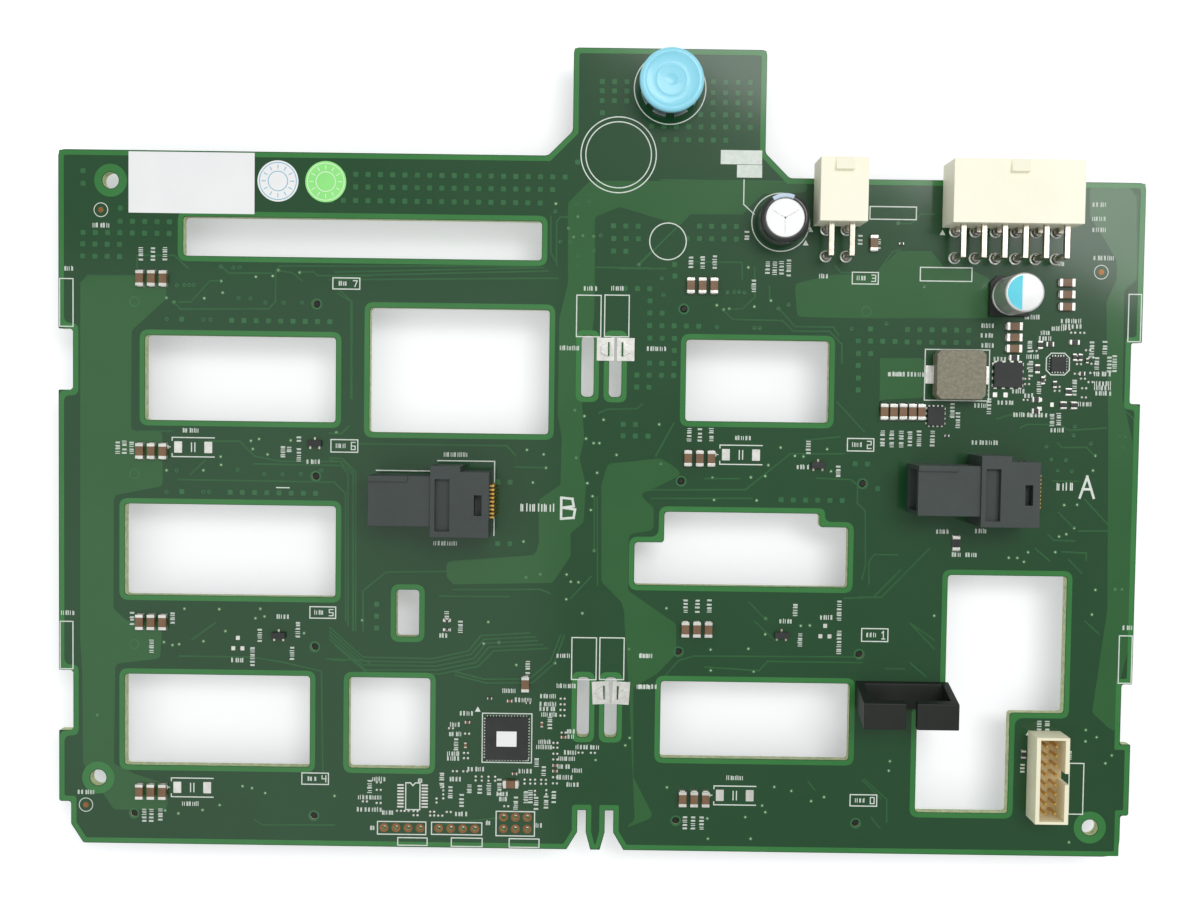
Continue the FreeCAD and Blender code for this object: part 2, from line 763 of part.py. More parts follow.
def contact_groups():
    """Each group of drive contacts: its centre along the slot and its count."""
    return (
        ("signal_contact_x", SIGNAL_CONTACTS),
        ("power_contact_x", POWER_CONTACTS),
    )


def contact_y():
    """Middle of the contacts, which stand against the far wall of the drive slot."""
    return "drive_slot_offset_y + (drive_slot_width - contact_thickness) / 2"


def make_drive_contacts(number, x, y):
    """Straight contact blades from the board down to just inside the slot's mouth."""
    body = new_body("contacts_body")
    for middle, count in contact_groups():
        sketch = new_sketch(body, "XY_Plane", "contact_mouth_gap")
        rectangle(sketch, f"{middle} - contact_pitch * ({count} - 1) / 2", contact_y(), "contact_width",
                  "contact_thickness")
        blade = pad(body, sketch, "receptacle_height - contact_mouth_gap")
        row_of(body, [blade], "X_Axis", "contact_pitch", count)
    node(body, f"drive_contacts_{number}", x, y, "0")


def make_power_header(name, columns, x):
    """Right-angle header: moulded cells that open to +Y, with bent square pins in two rows."""
    body = new_body("power_housing")
    sketch = new_sketch(body, "XY_Plane")
    rectangle(sketch, "0", "power_header_depth / 2", f"{columns} * power_pitch + power_header_margin",
              "power_header_depth")
    pad(body, sketch, "power_header_height")

    rows = [(side, f"power_header_height / 2 + {side} * power_pitch / 2") for side in (-1, 1)]
    sketch = new_sketch(body, "XZ_Plane", "power_header_back_wall")
    for index, cell_x in enumerate(header_columns(columns)):
        for side, cell_z in rows:
            half = "power_cell_width / 2"
            edge = f"{cell_z} + {side} * {half}"
            inner = f"{cell_z} - {side} * {half}"
            if (index + (side > 0)) % 2:
                shoulder = f"{edge} - {side} * power_cell_chamfer"
                polygon(sketch, [
                    (f"{cell_x} - {half}", inner), (f"{cell_x} + {half}", inner),
                    (f"{cell_x} + {half}", shoulder), (f"{cell_x} + {half} - power_cell_chamfer", edge),
                    (f"{cell_x} - {half} + power_cell_chamfer", edge), (f"{cell_x} - {half}", shoulder),
                ])
            else:
                rectangle(sketch, cell_x, cell_z, "power_cell_width", "power_cell_width")
    pocket(body, sketch, "power_header_depth - power_header_back_wall")

    sketch = new_sketch(body, "XZ_Plane")
    for cell_x in header_columns(columns):
        for _, cell_z in rows:
            rectangle(sketch, cell_x, cell_z, "power_pin_width", "power_pin_width")
    pocket(body, sketch, "power_header_back_wall")

    sketch = new_sketch(body, "YZ_Plane")
    polygon(sketch, [
        ("power_header_depth - latch_length", "power_header_height"),
        ("power_header_depth", "power_header_height"),
        ("power_header_depth - latch_length", "power_header_height + latch_height"),
    ])
    pad(body, sketch, "latch_width", symmetric=True)
    node(body, f"{name}_housing", x, "power_header_rear_y")

    body = new_body("power_pins")
    tip, half = "power_header_depth - power_pin_setback", "power_pin_width / 2"
    for (_, level), drop in zip(rows, power_pin_drops()):
        sketch = new_sketch(body, "YZ_Plane", header_columns(columns)[0])
        polygon(sketch, [
            (tip, f"{level} - {half}"), (tip, f"{level} + {half}"),
            (f"-{drop} - {half}", f"{level} + {half}"), (f"-{drop} - {half}", "-power_pin_tail"),
            (f"-{drop} + {half}", "-power_pin_tail"), (f"-{drop} + {half}", f"{level} - {half}"),
        ])
        pin = pad(body, sketch, "power_pin_width", symmetric=True)
        row_of(body, [pin], "X_Axis", "power_pitch", columns)
    node(body, f"{name}_pins", x, "power_header_rear_y")


def make_data_connector(name, x, y):
    """Right-angle cable connector: a plug guide that opens to -X and a wider block behind it."""
    body = new_body("data_housing")
    low, high = "-data_block_half_width", "data_block_half_width"
    sketch = new_sketch(body, "XY_Plane")
    polygon(sketch, [
        ("0", low), ("data_block_length", low), ("data_block_length", f"{high} - data_block_step_width"),
        ("data_ear_length", f"{high} - data_block_step_width"), ("data_ear_length", high), ("0", high),
    ])
    pad(body, sketch, "data_block_height")
    sketch = new_sketch(body, "XY_Plane")
    rectangle(sketch, "-data_guide_length / 2", "0", "data_guide_length", "data_guide_width")
    pad(body, sketch, "data_guide_height")
    sketch = new_sketch(body, "XY_Plane", "data_guide_height")
    rectangle(sketch, "-data_guide_length + data_rib_length / 2", "(data_guide_width - data_rib_width) / 2",
              "data_rib_length", "data_rib_width")
    pad(body, sketch, "data_rib_height")

    sketch = new_sketch(body, "YZ_Plane", "data_mouth_depth - data_guide_length")
    rectangle(sketch, "0", "data_mouth_floor + data_mouth_height / 2", "data_mouth_width", "data_mouth_height")
    pocket(body, sketch, "data_mouth_depth")
    sketch = new_sketch(body, "XY_Plane", "data_block_height")
    rectangle(sketch, "latch_pocket_x", "latch_pocket_y", "latch_pocket_length", "latch_pocket_width")
    pocket(body, sketch, "latch_pocket_depth")
    sketch = new_sketch(body, "XY_Plane", "data_block_height")
    rectangle(sketch, "vent_pocket_x", "vent_pocket_y", "vent_pocket_length", "vent_pocket_width")
    pocket(body, sketch, "vent_pocket_depth")

    # windows that the two rows of contacts pass through
    span = f"{DATA_CONTACTS - 1} * data_contact_pitch + data_contact_width"
    sketch = new_sketch(body, "YZ_Plane", "data_block_length")
    for level in ("data_lower_contact_z", "data_upper_contact_z"):
        rectangle(sketch, "0", level, span, "data_contact_thickness")
    pocket(body, sketch, "data_block_length + data_guide_length - data_mouth_depth")
    node(body, f"{name}_housing", x, y)

    body = new_body("data_contacts")
    half = "data_contact_thickness / 2"
    for level, tail in (("data_lower_contact_z", "data_lower_tail"), ("data_upper_contact_z", "data_upper_tail")):
        sketch = new_sketch(body, "XZ_Plane", f"-{(DATA_CONTACTS - 1) / 2} * data_contact_pitch")
        back = f"data_block_length + {tail}"
        polygon(sketch, [
            ("-data_contact_reach", f"{level} - {half}"), (f"{back} - 2 * {half}", f"{level} - {half}"),
            (f"{back} - 2 * {half}", "0"), (back, "0"), (back, f"{level} + {half}"),
            ("-data_contact_reach", f"{level} + {half}"),
        ])
        strip = pad(body, sketch, "data_contact_width", symmetric=True)
        row_of(body, [strip], "Y_Axis", "data_contact_pitch", DATA_CONTACTS)
    node(body, f"{name}_contacts", x, y)


def make_signal_header():
    """Upright box header: shroud with a key slot in its +X wall, and two columns of pins."""
    body = new_body("signal_housing")
    sketch = new_sketch(body, "XY_Plane")
    rectangle(sketch, "0", "0", "signal_header_width", "signal_header_length")
    pad(body, sketch, "signal_header_height")
    sketch = new_sketch(body, "XY_Plane", "signal_header_height")
    rectangle(sketch, "0", "0", "signal_cavity_width", "signal_cavity_length")
    pocket(body, sketch, "signal_cavity_depth")
    sketch = new_sketch(body, "XY_Plane", "signal_header_height")
    rectangle(sketch, "signal_header_width / 2", "signal_key_y", "signal_header_width / 2", "signal_key_width")
    pocket(body, sketch, "signal_cavity_depth")
    sketch = new_sketch(body, "XY_Plane", "signal_header_height")
    for side in (-1, 1):
        for i in range(SIGNAL_COLUMNS):
            rectangle(sketch, f"{side} * signal_pin_pitch / 2", f"{i - (SIGNAL_COLUMNS - 1) / 2} * signal_pin_pitch",
                      "signal_pin_width", "signal_pin_width")
    pocket(body, sketch)
    node(body, "signal_header_housing", "signal_header_x", "signal_header_y")

    body = new_body("signal_pins")
    for side in (-1, 1):
        sketch = new_sketch(body, "XY_Plane")
        rectangle(sketch, f"{side} * signal_pin_pitch / 2", f"{(1 - SIGNAL_COLUMNS) / 2} * signal_pin_pitch",
                  "signal_pin_width", "signal_pin_width")
        pin = pad(body, sketch, "signal_pin_height")
        row_of(body, [pin], "Y_Axis", "signal_pin_pitch", SIGNAL_COLUMNS)
    node(body, "signal_header_pins", "signal_header_x", "signal_header_y")


def make_plunger():
    """Spring plunger that locks the board in its chassis: ferrule, knob, pin and spring."""
    barrel, shank, chamber = "barrel_diameter / 2", "shank_diameter / 2", "chamber_diameter / 2"
    lid_hole, lip_hole = "shaft_diameter / 2 + running_clearance", "nose_guide_diameter / 2 + running_clearance"
    lip_top = "-board_thickness + lip_thickness"
    lid_low = "barrel_height - lid_thickness"
    body = new_body("ferrule_body")
    sketch = new_sketch(body, "XZ_Plane")
    polygon(sketch, [
        (lip_hole, "-board_thickness"), (shank, "-board_thickness"), (shank, "0"),
        ("flange_diameter / 2", "0"), ("flange_diameter / 2", "flange_height"), (barrel, "flange_height"),
        (barrel, "barrel_height"), (lid_hole, "barrel_height"), (lid_hole, lid_low), (chamber, lid_low),
        (chamber, lip_top), (lip_hole, lip_top),
    ])
    revolve(body, sketch)
    sketch = new_sketch(body, "XY_Plane", "flange_height")
    rectangle(sketch, "flange_diameter / 2", "0", "2 * flange_notch_depth", "flange_notch_width")
    notch = pocket(body, sketch, "flange_height")
    ring = body.newObject("PartDesign::PolarPattern", "notches")
    ring.Originals = [notch]
    ring.Axis = (origin_feature(body, "Z_Axis"), [""])
    ring.Angle = 360
    ring.Occurrences = FLANGE_NOTCHES
    body.Tip = ring
    node(body, "plunger_ferrule", "tab_centre_x", "plunger_y")

    guide_low = "-board_thickness - nose_guide_gap"
    collar_low = f"{lip_top} + running_clearance"
    collar_top = f"{collar_low} + collar_thickness"
    knob_low = "barrel_height + knob_gap"
    body = new_body("pin_body")
    sketch = new_sketch(body, "XZ_Plane")
    polygon(sketch, [
        ("0", "-board_thickness - nose_reach"),
        ("nose_diameter / 2 - nose_chamfer", "-board_thickness - nose_reach"),
        ("nose_diameter / 2", "-board_thickness - nose_reach + nose_chamfer"),
        ("nose_diameter / 2", guide_low), ("nose_guide_diameter / 2", guide_low),
        ("nose_guide_diameter / 2", collar_low), ("collar_diameter / 2", collar_low),
        ("collar_diameter / 2", collar_top), ("shaft_diameter / 2", collar_top),
        ("shaft_diameter / 2", knob_low), ("0", knob_low),
    ])
    revolve(body, sketch)
    node(body, "plunger_pin", "tab_centre_x", "plunger_y")

    top = f"{knob_low} + knob_height"
    body = new_body("knob_body")
    sketch = new_sketch(body, "XZ_Plane")
    polygon(sketch, [
        ("0", knob_low), ("knob_neck_diameter / 2", knob_low),
        ("knob_diameter / 2", f"{knob_low} + knob_flare_height"),
        ("knob_diameter / 2", f"{top} - knob_rim"), ("knob_diameter / 2 - knob_rim", top),
        ("0", top),
    ])
    revolve(body, sketch)
    node(body, "plunger_knob", "tab_centre_x", "plunger_y")

    # coil spring between the pin's collar and the ferrule's lid, its wire bent in short straight steps
    radius, wire = value("spring_mean_diameter / 2"), value("spring_wire / 2")
    low = value(f"{collar_top} + running_clearance / 3") + wire
    high = value(f"{lid_low} - running_clearance / 3") - wire
    steps = round(value("spring_turns")) * SPRING_STEPS
    path = []
    for i in range(steps + 1):
        angle = 2 * math.pi * i / SPRING_STEPS
        path.append(FreeCAD.Vector(radius * math.cos(angle), radius * math.sin(angle), low + (high - low) * i / steps))
    section = [FreeCAD.Vector(radius + wire * math.cos(a), 0, low + wire * math.sin(a))
               for a in (math.radians(60 * k) for k in range(7))]
    coil = doc.addObject("Part::Feature", "spring")
    coil.Shape = Part.makePolygon(path).makePipeShell([Part.makePolygon(section)], True, False, 1)
    node(coil, "plunger_spring", "tab_centre_x", "plunger_y")


def capacitor_leads():
    """Offset of each lead of the bulk capacitor from its centre, plus lead first."""
    angle = math.radians(-56)
    return [(f"({side * math.cos(angle):.4f}) * bulk_lead_spacing / 2",
             f"({side * math.sin(angle):.4f}) * bulk_lead_spacing / 2") for side in (1, -1)]


def make_bulk_capacitor():
    """Sleeved can with a rolled rim, and its two leads through the board."""
    radius, top = "bulk_capacitor_diameter / 2", "bulk_capacitor_height"
    body = new_body("bulk_can")
    sketch = new_sketch(body, "XZ_Plane")
    polygon(sketch, [
        ("0", "0"), (radius, "0"), (radius, f"{top} - bulk_capacitor_rim"), (f"{radius} - bulk_capacitor_rim", top), ("0", top),
    ])
    revolve(body, sketch)
    node(body, "bulk_capacitor", "bulk_capacitor_x", "bulk_capacitor_y")

    leads = []
    for x, y in capacitor_leads():
        lead = doc.addObject("Part::Prism", "lead")
        lead.Polygon = LEAD_SIDES
        lead.setExpression("Circumradius", bind("bulk_lead_diameter / 2"))
        lead.setExpression("Height", bind("bulk_lead_tail"))
        lead.setExpression("Placement.Base.x", bind(f"bulk_capacitor_x + {x}"))
        lead.setExpression("Placement.Base.y", bind(f"bulk_capacitor_y + {y}"))
        lead.setExpression("Placement.Base.z", bind(f"{BOARD_TOP} - bulk_lead_tail"))
        leads.append(lead)
    group("bulk_capacitor_leads", leads)


def make_filter_capacitor():
    """Surface-mount can on a moulded base plate with two cut corners."""
    half, cut = "filter_base_width / 2", "filter_base_chamfer"
    body = new_body("filter_base")
    sketch = new_sketch(body, "XY_Plane")
    polygon(sketch, [
        (f"-{half}", f"-{half}"), (f"{half}", f"-{half}"), (f"{half}", f"{half}"),
        (f"-{half} + {cut}", f"{half}"), (f"-{half}", f"{half} - {cut}"),
    ])
    pad(body, sketch, "filter_base_height")
    node(body, "filter_capacitor_base", "filter_capacitor_x", "filter_capacitor_y")

    radius, top = "filter_can_diameter / 2", "filter_can_height"
    body = new_body("filter_can")
    sketch = new_sketch(body, "XZ_Plane")
    polygon(sketch, [
        ("0", "0"), (radius, "0"), (radius, f"{top} - filter_can_rim"),
        (f"{radius} - filter_can_rim", top), ("0", top),
    ])
    revolve(body, sketch)
    node(body, "filter_capacitor_can", "filter_capacitor_x", "filter_capacitor_y",
         f"{BOARD_TOP} + filter_base_height")


def make_inductor():
    """Moulded power inductor with a folded terminal at each end."""
    body = new_body("inductor_block")
    sketch = new_sketch(body, "XY_Plane")
    half = "inductor_width / 2"
    cut_rectangle(sketch, "0", "0", "inductor_width", "inductor_width", "inductor_chamfer")
    pad(body, sketch, "inductor_height")
    node(body, "inductor_core", "inductor_x", "inductor_y")

    body = new_body("inductor_terminals")
    for side in (-1, 1):
        sketch = new_sketch(body, "XZ_Plane")
        inner, outer = f"{side} * {half}", f"{side} * ({half} + terminal_thickness)"
        polygon(sketch, [
            (inner, "0"), (f"{side} * ({half} + terminal_foot)", "0"),
            (f"{side} * ({half} + terminal_foot)", "terminal_thickness"), (outer, "terminal_thickness"),
            (outer, "terminal_rise"), (inner, "terminal_rise"),
        ])
        pad(body, sketch, "terminal_width", symmetric=True)
    node(body, "inductor_terminals", "inductor_x", "inductor_y")


def make_chip(name, x, y, length, width):
    """Flat moulded chip with its first corner cut."""
    half_x, half_y, cut = f"({length}) / 2", f"({width}) / 2", "chip_corner_cut"
    body = new_body("chip")
    sketch = new_sketch(body, "XY_Plane")
    polygon(sketch, [
        (f"-{half_x}", f"-{half_y}"), (half_x, f"-{half_y}"), (half_x, half_y),
        (f"-{half_x} + {cut}", half_y), (f"-{half_x}", f"{half_y} - {cut}"),
    ])
    pad(body, sketch, "chip_height")
    node(body, name, str(x), str(y))


def make_small_parts():
    """Ceramic capacitors, chip resistors and three-lead transistors."""
    chips = []
    for x, y in receptacle_centres():
        for i in (-1, 0, 1):
            chips.append(box("bay_chip", "capacitor_width", "capacitor_length", "capacitor_height",
                             f"{x} + bay_capacitor_x + {i} * bay_capacitor_pitch", f"{y} + bay_capacitor_y",
                             BOARD_TOP))
    group("bay_capacitors", chips)

    chips = []
    for x, y, lies_along_x in POWER_CAPACITORS:
        size = ("capacitor_length", "capacitor_width") if lies_along_x else ("capacitor_width", "capacitor_length")
        chips.append(box("power_chip", *size, "capacitor_height", str(x), str(y), BOARD_TOP))
    group("power_capacitors", chips)

    group("small_chips", [box("small_chip", str(length), str(width), "small_chip_height", str(x), str(y), BOARD_TOP)
                          for x, y, length, width in SMALL_CHIPS])

    bodies, leads = [], []
    for x, y in TRANSISTORS:
        bodies.append(box("transistor", "transistor_length", "transistor_width", "transistor_height",
                          str(x), str(y), BOARD_TOP))
        for column, side in ((-1, -1), (1, -1), (0, 1)):
            middle = f"{y} + {side} * (transistor_width + transistor_lead_reach) / 2"
            leads.append(box("transistor_lead", "transistor_lead_width", "transistor_lead_reach",
                             "transistor_lead_thickness", f"{x} + {column} * transistor_lead_pitch", middle,
                             BOARD_TOP))
    group("transistor_bodies", bodies)
    group("transistor_leads", leads)


def make_contact_plate(name, side, y, turn):
    """Tin-plated contact with a raised louvre that opens towards the hook slot."""
    body = new_body("contact_plate")
    sketch = new_sketch(body, "XY_Plane")
    rectangle(sketch, "0", "0", "contact_plate_width", "contact_plate_length")
    pad(body, sketch, "contact_plate_thickness")
    sketch = new_sketch(body, "XY_Plane", "contact_plate_thickness")
    rectangle(sketch, f"{-side} * louvre_reach / 2", "0", "louvre_slot_width", "2 * louvre_reach")
    pocket(body, sketch)

    # raised louvre with its straight edge along the slot
    sketch = new_sketch(body, "XY_Plane", "contact_plate_thickness")
    edge = f"{-side} * (louvre_reach - louvre_slot_width) / 2"
    back = f"{edge} + {side} * louvre_reach"
    polygon(sketch, [
        (edge, "-louvre_reach"), (back, "-louvre_nose / 2"), (back, "louvre_nose / 2"), (edge, "louvre_reach"),
    ])
    pad(body, sketch, "louvre_height")
    offset = f"{side} * (contact_plate_width + contact_plate_gap) / 2"
    node(body, name, f"hook_slot_centre_x + hook_slot_spacing / 2 + {offset}", y, turn=turn)


def make_cable_clip():
    """Leaning saddle with an entry slit at the top, held by a barbed foot through the board."""
    body = new_body("clip_body")
    sketch = new_sketch(body, "YZ_Plane")
    polygon(sketch, [
        ("clip_depth / 2", "0"), ("clip_depth / 2 - clip_lean", "clip_height"),
        ("-clip_depth / 2 - clip_lean", "clip_height"), ("-clip_depth / 2", "0"),
    ])
    pad(body, sketch, "clip_width", symmetric=True)
    half, low, high = "(clip_width / 2 - clip_wall)", "clip_floor", "(clip_height - clip_wall)"
    sketch = new_sketch(body, "XZ_Plane", "-clip_depth - clip_lean")
    polygon(sketch, [
        (f"-{half}", low), (half, low), (half, high), ("clip_slit / 2", high),
        ("clip_slit / 2", "clip_height + clip_wall"), ("-clip_slit / 2", "clip_height + clip_wall"),
        ("-clip_slit / 2", high), (f"-{half}", high),
    ])
    pocket(body, sketch)
    foot, barb = "clip_foot_width / 2", "clip_barb_width / 2"
    ledge, tip = "-board_thickness - clip_foot_clearance", "-board_thickness - clip_barb_length"
    right_side = [(foot, "0"), (foot, ledge), (barb, ledge), (foot, tip)]
    sketch = new_sketch(body, "XZ_Plane")
    polygon(sketch, right_side + [(f"-{x}", z) for x, z in reversed(right_side)])
    pad(body, sketch, "clip_foot_thickness", symmetric=True)
    node(body, "cable_clip", "clip_x", "clip_back_y - clip_depth / 2")


def make_labels():
    """Blank stick-on labels: a rectangle and two dots."""
    label = doc.addObject("Part::Box", "label")
    for prop, text in (("Length", "label_length"), ("Width", "label_height"), ("Height", "sticker_thickness")):
        label.setExpression(prop, bind(text))
    node(label, "blank_label", "label_x - label_length / 2", "label_y - label_height / 2")
    for name in ("white_dot", "green_dot"):
        dot = doc.addObject("Part::Prism", name)
        dot.Polygon = DOT_SIDES
        dot.setExpression("Circumradius", bind("dot_diameter / 2"))
        dot.setExpression("Height", bind("sticker_thickness"))
        node(dot, f"{name}_label", f"{name}_x", "dot_y")
    sticker = doc.addObject("Part::Box", "sticker")
    for prop, text in (("Length", "chip_sticker_length"), ("Width", "chip_sticker_width"),
                       ("Height", "sticker_thickness")):
        sticker.setExpression(prop, bind(text))
    node(sticker, "chip_sticker", "bay_controller_x - chip_sticker_length / 2",
         "bay_controller_y - chip_sticker_width / 2", f"{BOARD_TOP} + chip_height")


def export():
    """Check every object of the document, then write one file for each sub-part."""
    doc.recompute()
    for item in doc.Objects:
        if "Invalid" in item.State or "Error" in item.State:
            raise RuntimeError(f"{item.Name} ({item.Label}) failed: {item.State}")
    for item in nodes:
        if item.Shape.isNull() or not item.Shape.isValid():
            raise RuntimeError(f"{item.Label} has no valid shape")
    os.makedirs("parts", exist_ok=True)
    for item in nodes:
        item.Shape.exportStep(os.path.join("parts", f"{item.Label}.step"))
        print(f"{item.Label}: {len(item.Shape.Solids)} solids, {item.Shape.Volume:.2f} mm3")


make_board()
for bay, (bay_x, bay_y) in enumerate(receptacle_centres(), start=1):
    make_receptacle(bay, bay_x, bay_y)
    make_drive_contacts(bay, bay_x, bay_y)
make_power_header("main_power_header", MAIN_COLUMNS, "main_header_x")
make_power_header("accessory_power_header", ACCESSORY_COLUMNS, "accessory_header_x")
make_data_connector("data_connector_a", "data_connector_a_x", "data_connector_a_y")
make_data_connector("data_connector_b", "data_connector_b_x", "data_connector_b_y")
make_signal_header()
make_plunger()
make_bulk_capacitor()
make_filter_capacitor()
make_inductor()
for chip in POWER_CHIPS:
    make_chip(*chip)
make_chip("bay_controller_chip", "bay_controller_x", "bay_controller_y", "bay_controller_width", "bay_controller_width")
make_small_parts()
make_contact_plate("upper_contact_left", -1, "upper_contact_y", 0.0)
make_contact_plate("upper_contact_right", 1, "upper_contact_y", 0.0)
make_contact_plate("lower_contact_left", -1, "lower_contact_y", 3.0)
make_contact_plate("lower_contact_right", 1, "lower_contact_y", -3.0)
make_cable_clip()
make_labels()
export()
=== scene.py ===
"""Looks of a drive backplane board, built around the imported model: laminate, print, parts and finishes.

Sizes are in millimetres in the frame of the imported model. The board's top face is at BOARD_TOP, and +Y points
to the tab with the release plunger.
"""

from __future__ import annotations

import json
import logging
import math
import random
from dataclasses import dataclass
from enum import Enum
from typing import Callable, Sequence

import bmesh
import bpy
from mathutils import Matrix, Vector

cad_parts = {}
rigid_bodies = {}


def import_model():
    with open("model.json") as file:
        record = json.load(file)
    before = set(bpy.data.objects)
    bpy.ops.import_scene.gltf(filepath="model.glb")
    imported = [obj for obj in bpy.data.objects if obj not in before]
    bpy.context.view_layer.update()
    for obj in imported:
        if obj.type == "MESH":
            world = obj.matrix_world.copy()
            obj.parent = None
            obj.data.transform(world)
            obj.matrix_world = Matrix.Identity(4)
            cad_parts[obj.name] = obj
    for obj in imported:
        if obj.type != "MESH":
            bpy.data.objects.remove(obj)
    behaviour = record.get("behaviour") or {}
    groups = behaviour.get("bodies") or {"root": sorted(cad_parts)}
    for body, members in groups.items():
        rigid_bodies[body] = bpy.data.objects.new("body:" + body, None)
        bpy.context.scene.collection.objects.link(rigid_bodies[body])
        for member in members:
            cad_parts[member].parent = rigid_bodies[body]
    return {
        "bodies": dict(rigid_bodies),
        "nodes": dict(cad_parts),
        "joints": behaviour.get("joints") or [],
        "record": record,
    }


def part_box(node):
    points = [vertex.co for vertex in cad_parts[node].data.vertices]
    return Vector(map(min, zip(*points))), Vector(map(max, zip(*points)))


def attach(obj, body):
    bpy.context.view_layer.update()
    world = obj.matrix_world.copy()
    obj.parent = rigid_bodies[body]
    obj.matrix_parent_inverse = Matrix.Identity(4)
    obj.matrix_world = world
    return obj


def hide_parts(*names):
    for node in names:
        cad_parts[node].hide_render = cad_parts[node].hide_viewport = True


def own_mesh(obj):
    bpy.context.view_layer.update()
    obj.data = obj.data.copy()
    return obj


LOG = logging.getLogger("backplane")

MM = 0.001
BOARD_BODY = "board"
PLUNGER_BODY = "plunger"
# Heights of the laminate's faces, and the depth inside it where every printed layer starts
BOARD_TOP = 10.86
BOARD_REAR = 8.5
PRINT_ROOT = BOARD_TOP - 0.1
# How far copper, ink and tin stand over a face, and how much higher each next stroke lies
COPPER_STEP = 0.035
INK_STEP = 0.05
TIN_STEP = 0.06
LAYER_STEP = 0.00006
# Scale of the wave textures that stand for the woven glass
WEAVE_PITCH = 420.0

Point = tuple[float, float]
Loop = list[Point]
Colour = tuple[int, int, int]


def linear(colour: Colour) -> tuple[float, float, float, float]:
    """Turn an 0-255 screen colour into Blender's linear colour.

    Args:
        colour: red, green and blue as a screen shows them.
    Returns:
        The same colour as linear red, green, blue and alpha.
    """
    parts = [c / 255.0 for c in colour]
    curve = [p / 12.92 if p <= 0.04045 else ((p + 0.055) / 1.055) ** 2.4 for p in parts]
    return (curve[0], curve[1], curve[2], 1.0)


class Effect(Enum):
    """Surface effects that several finishes share, each kept as one node group."""

    MOTTLE = "mottled_colour"
    GRAIN = "fine_grain"
    WEAR = "edge_wear"
    WEAVE = "glass_weave"


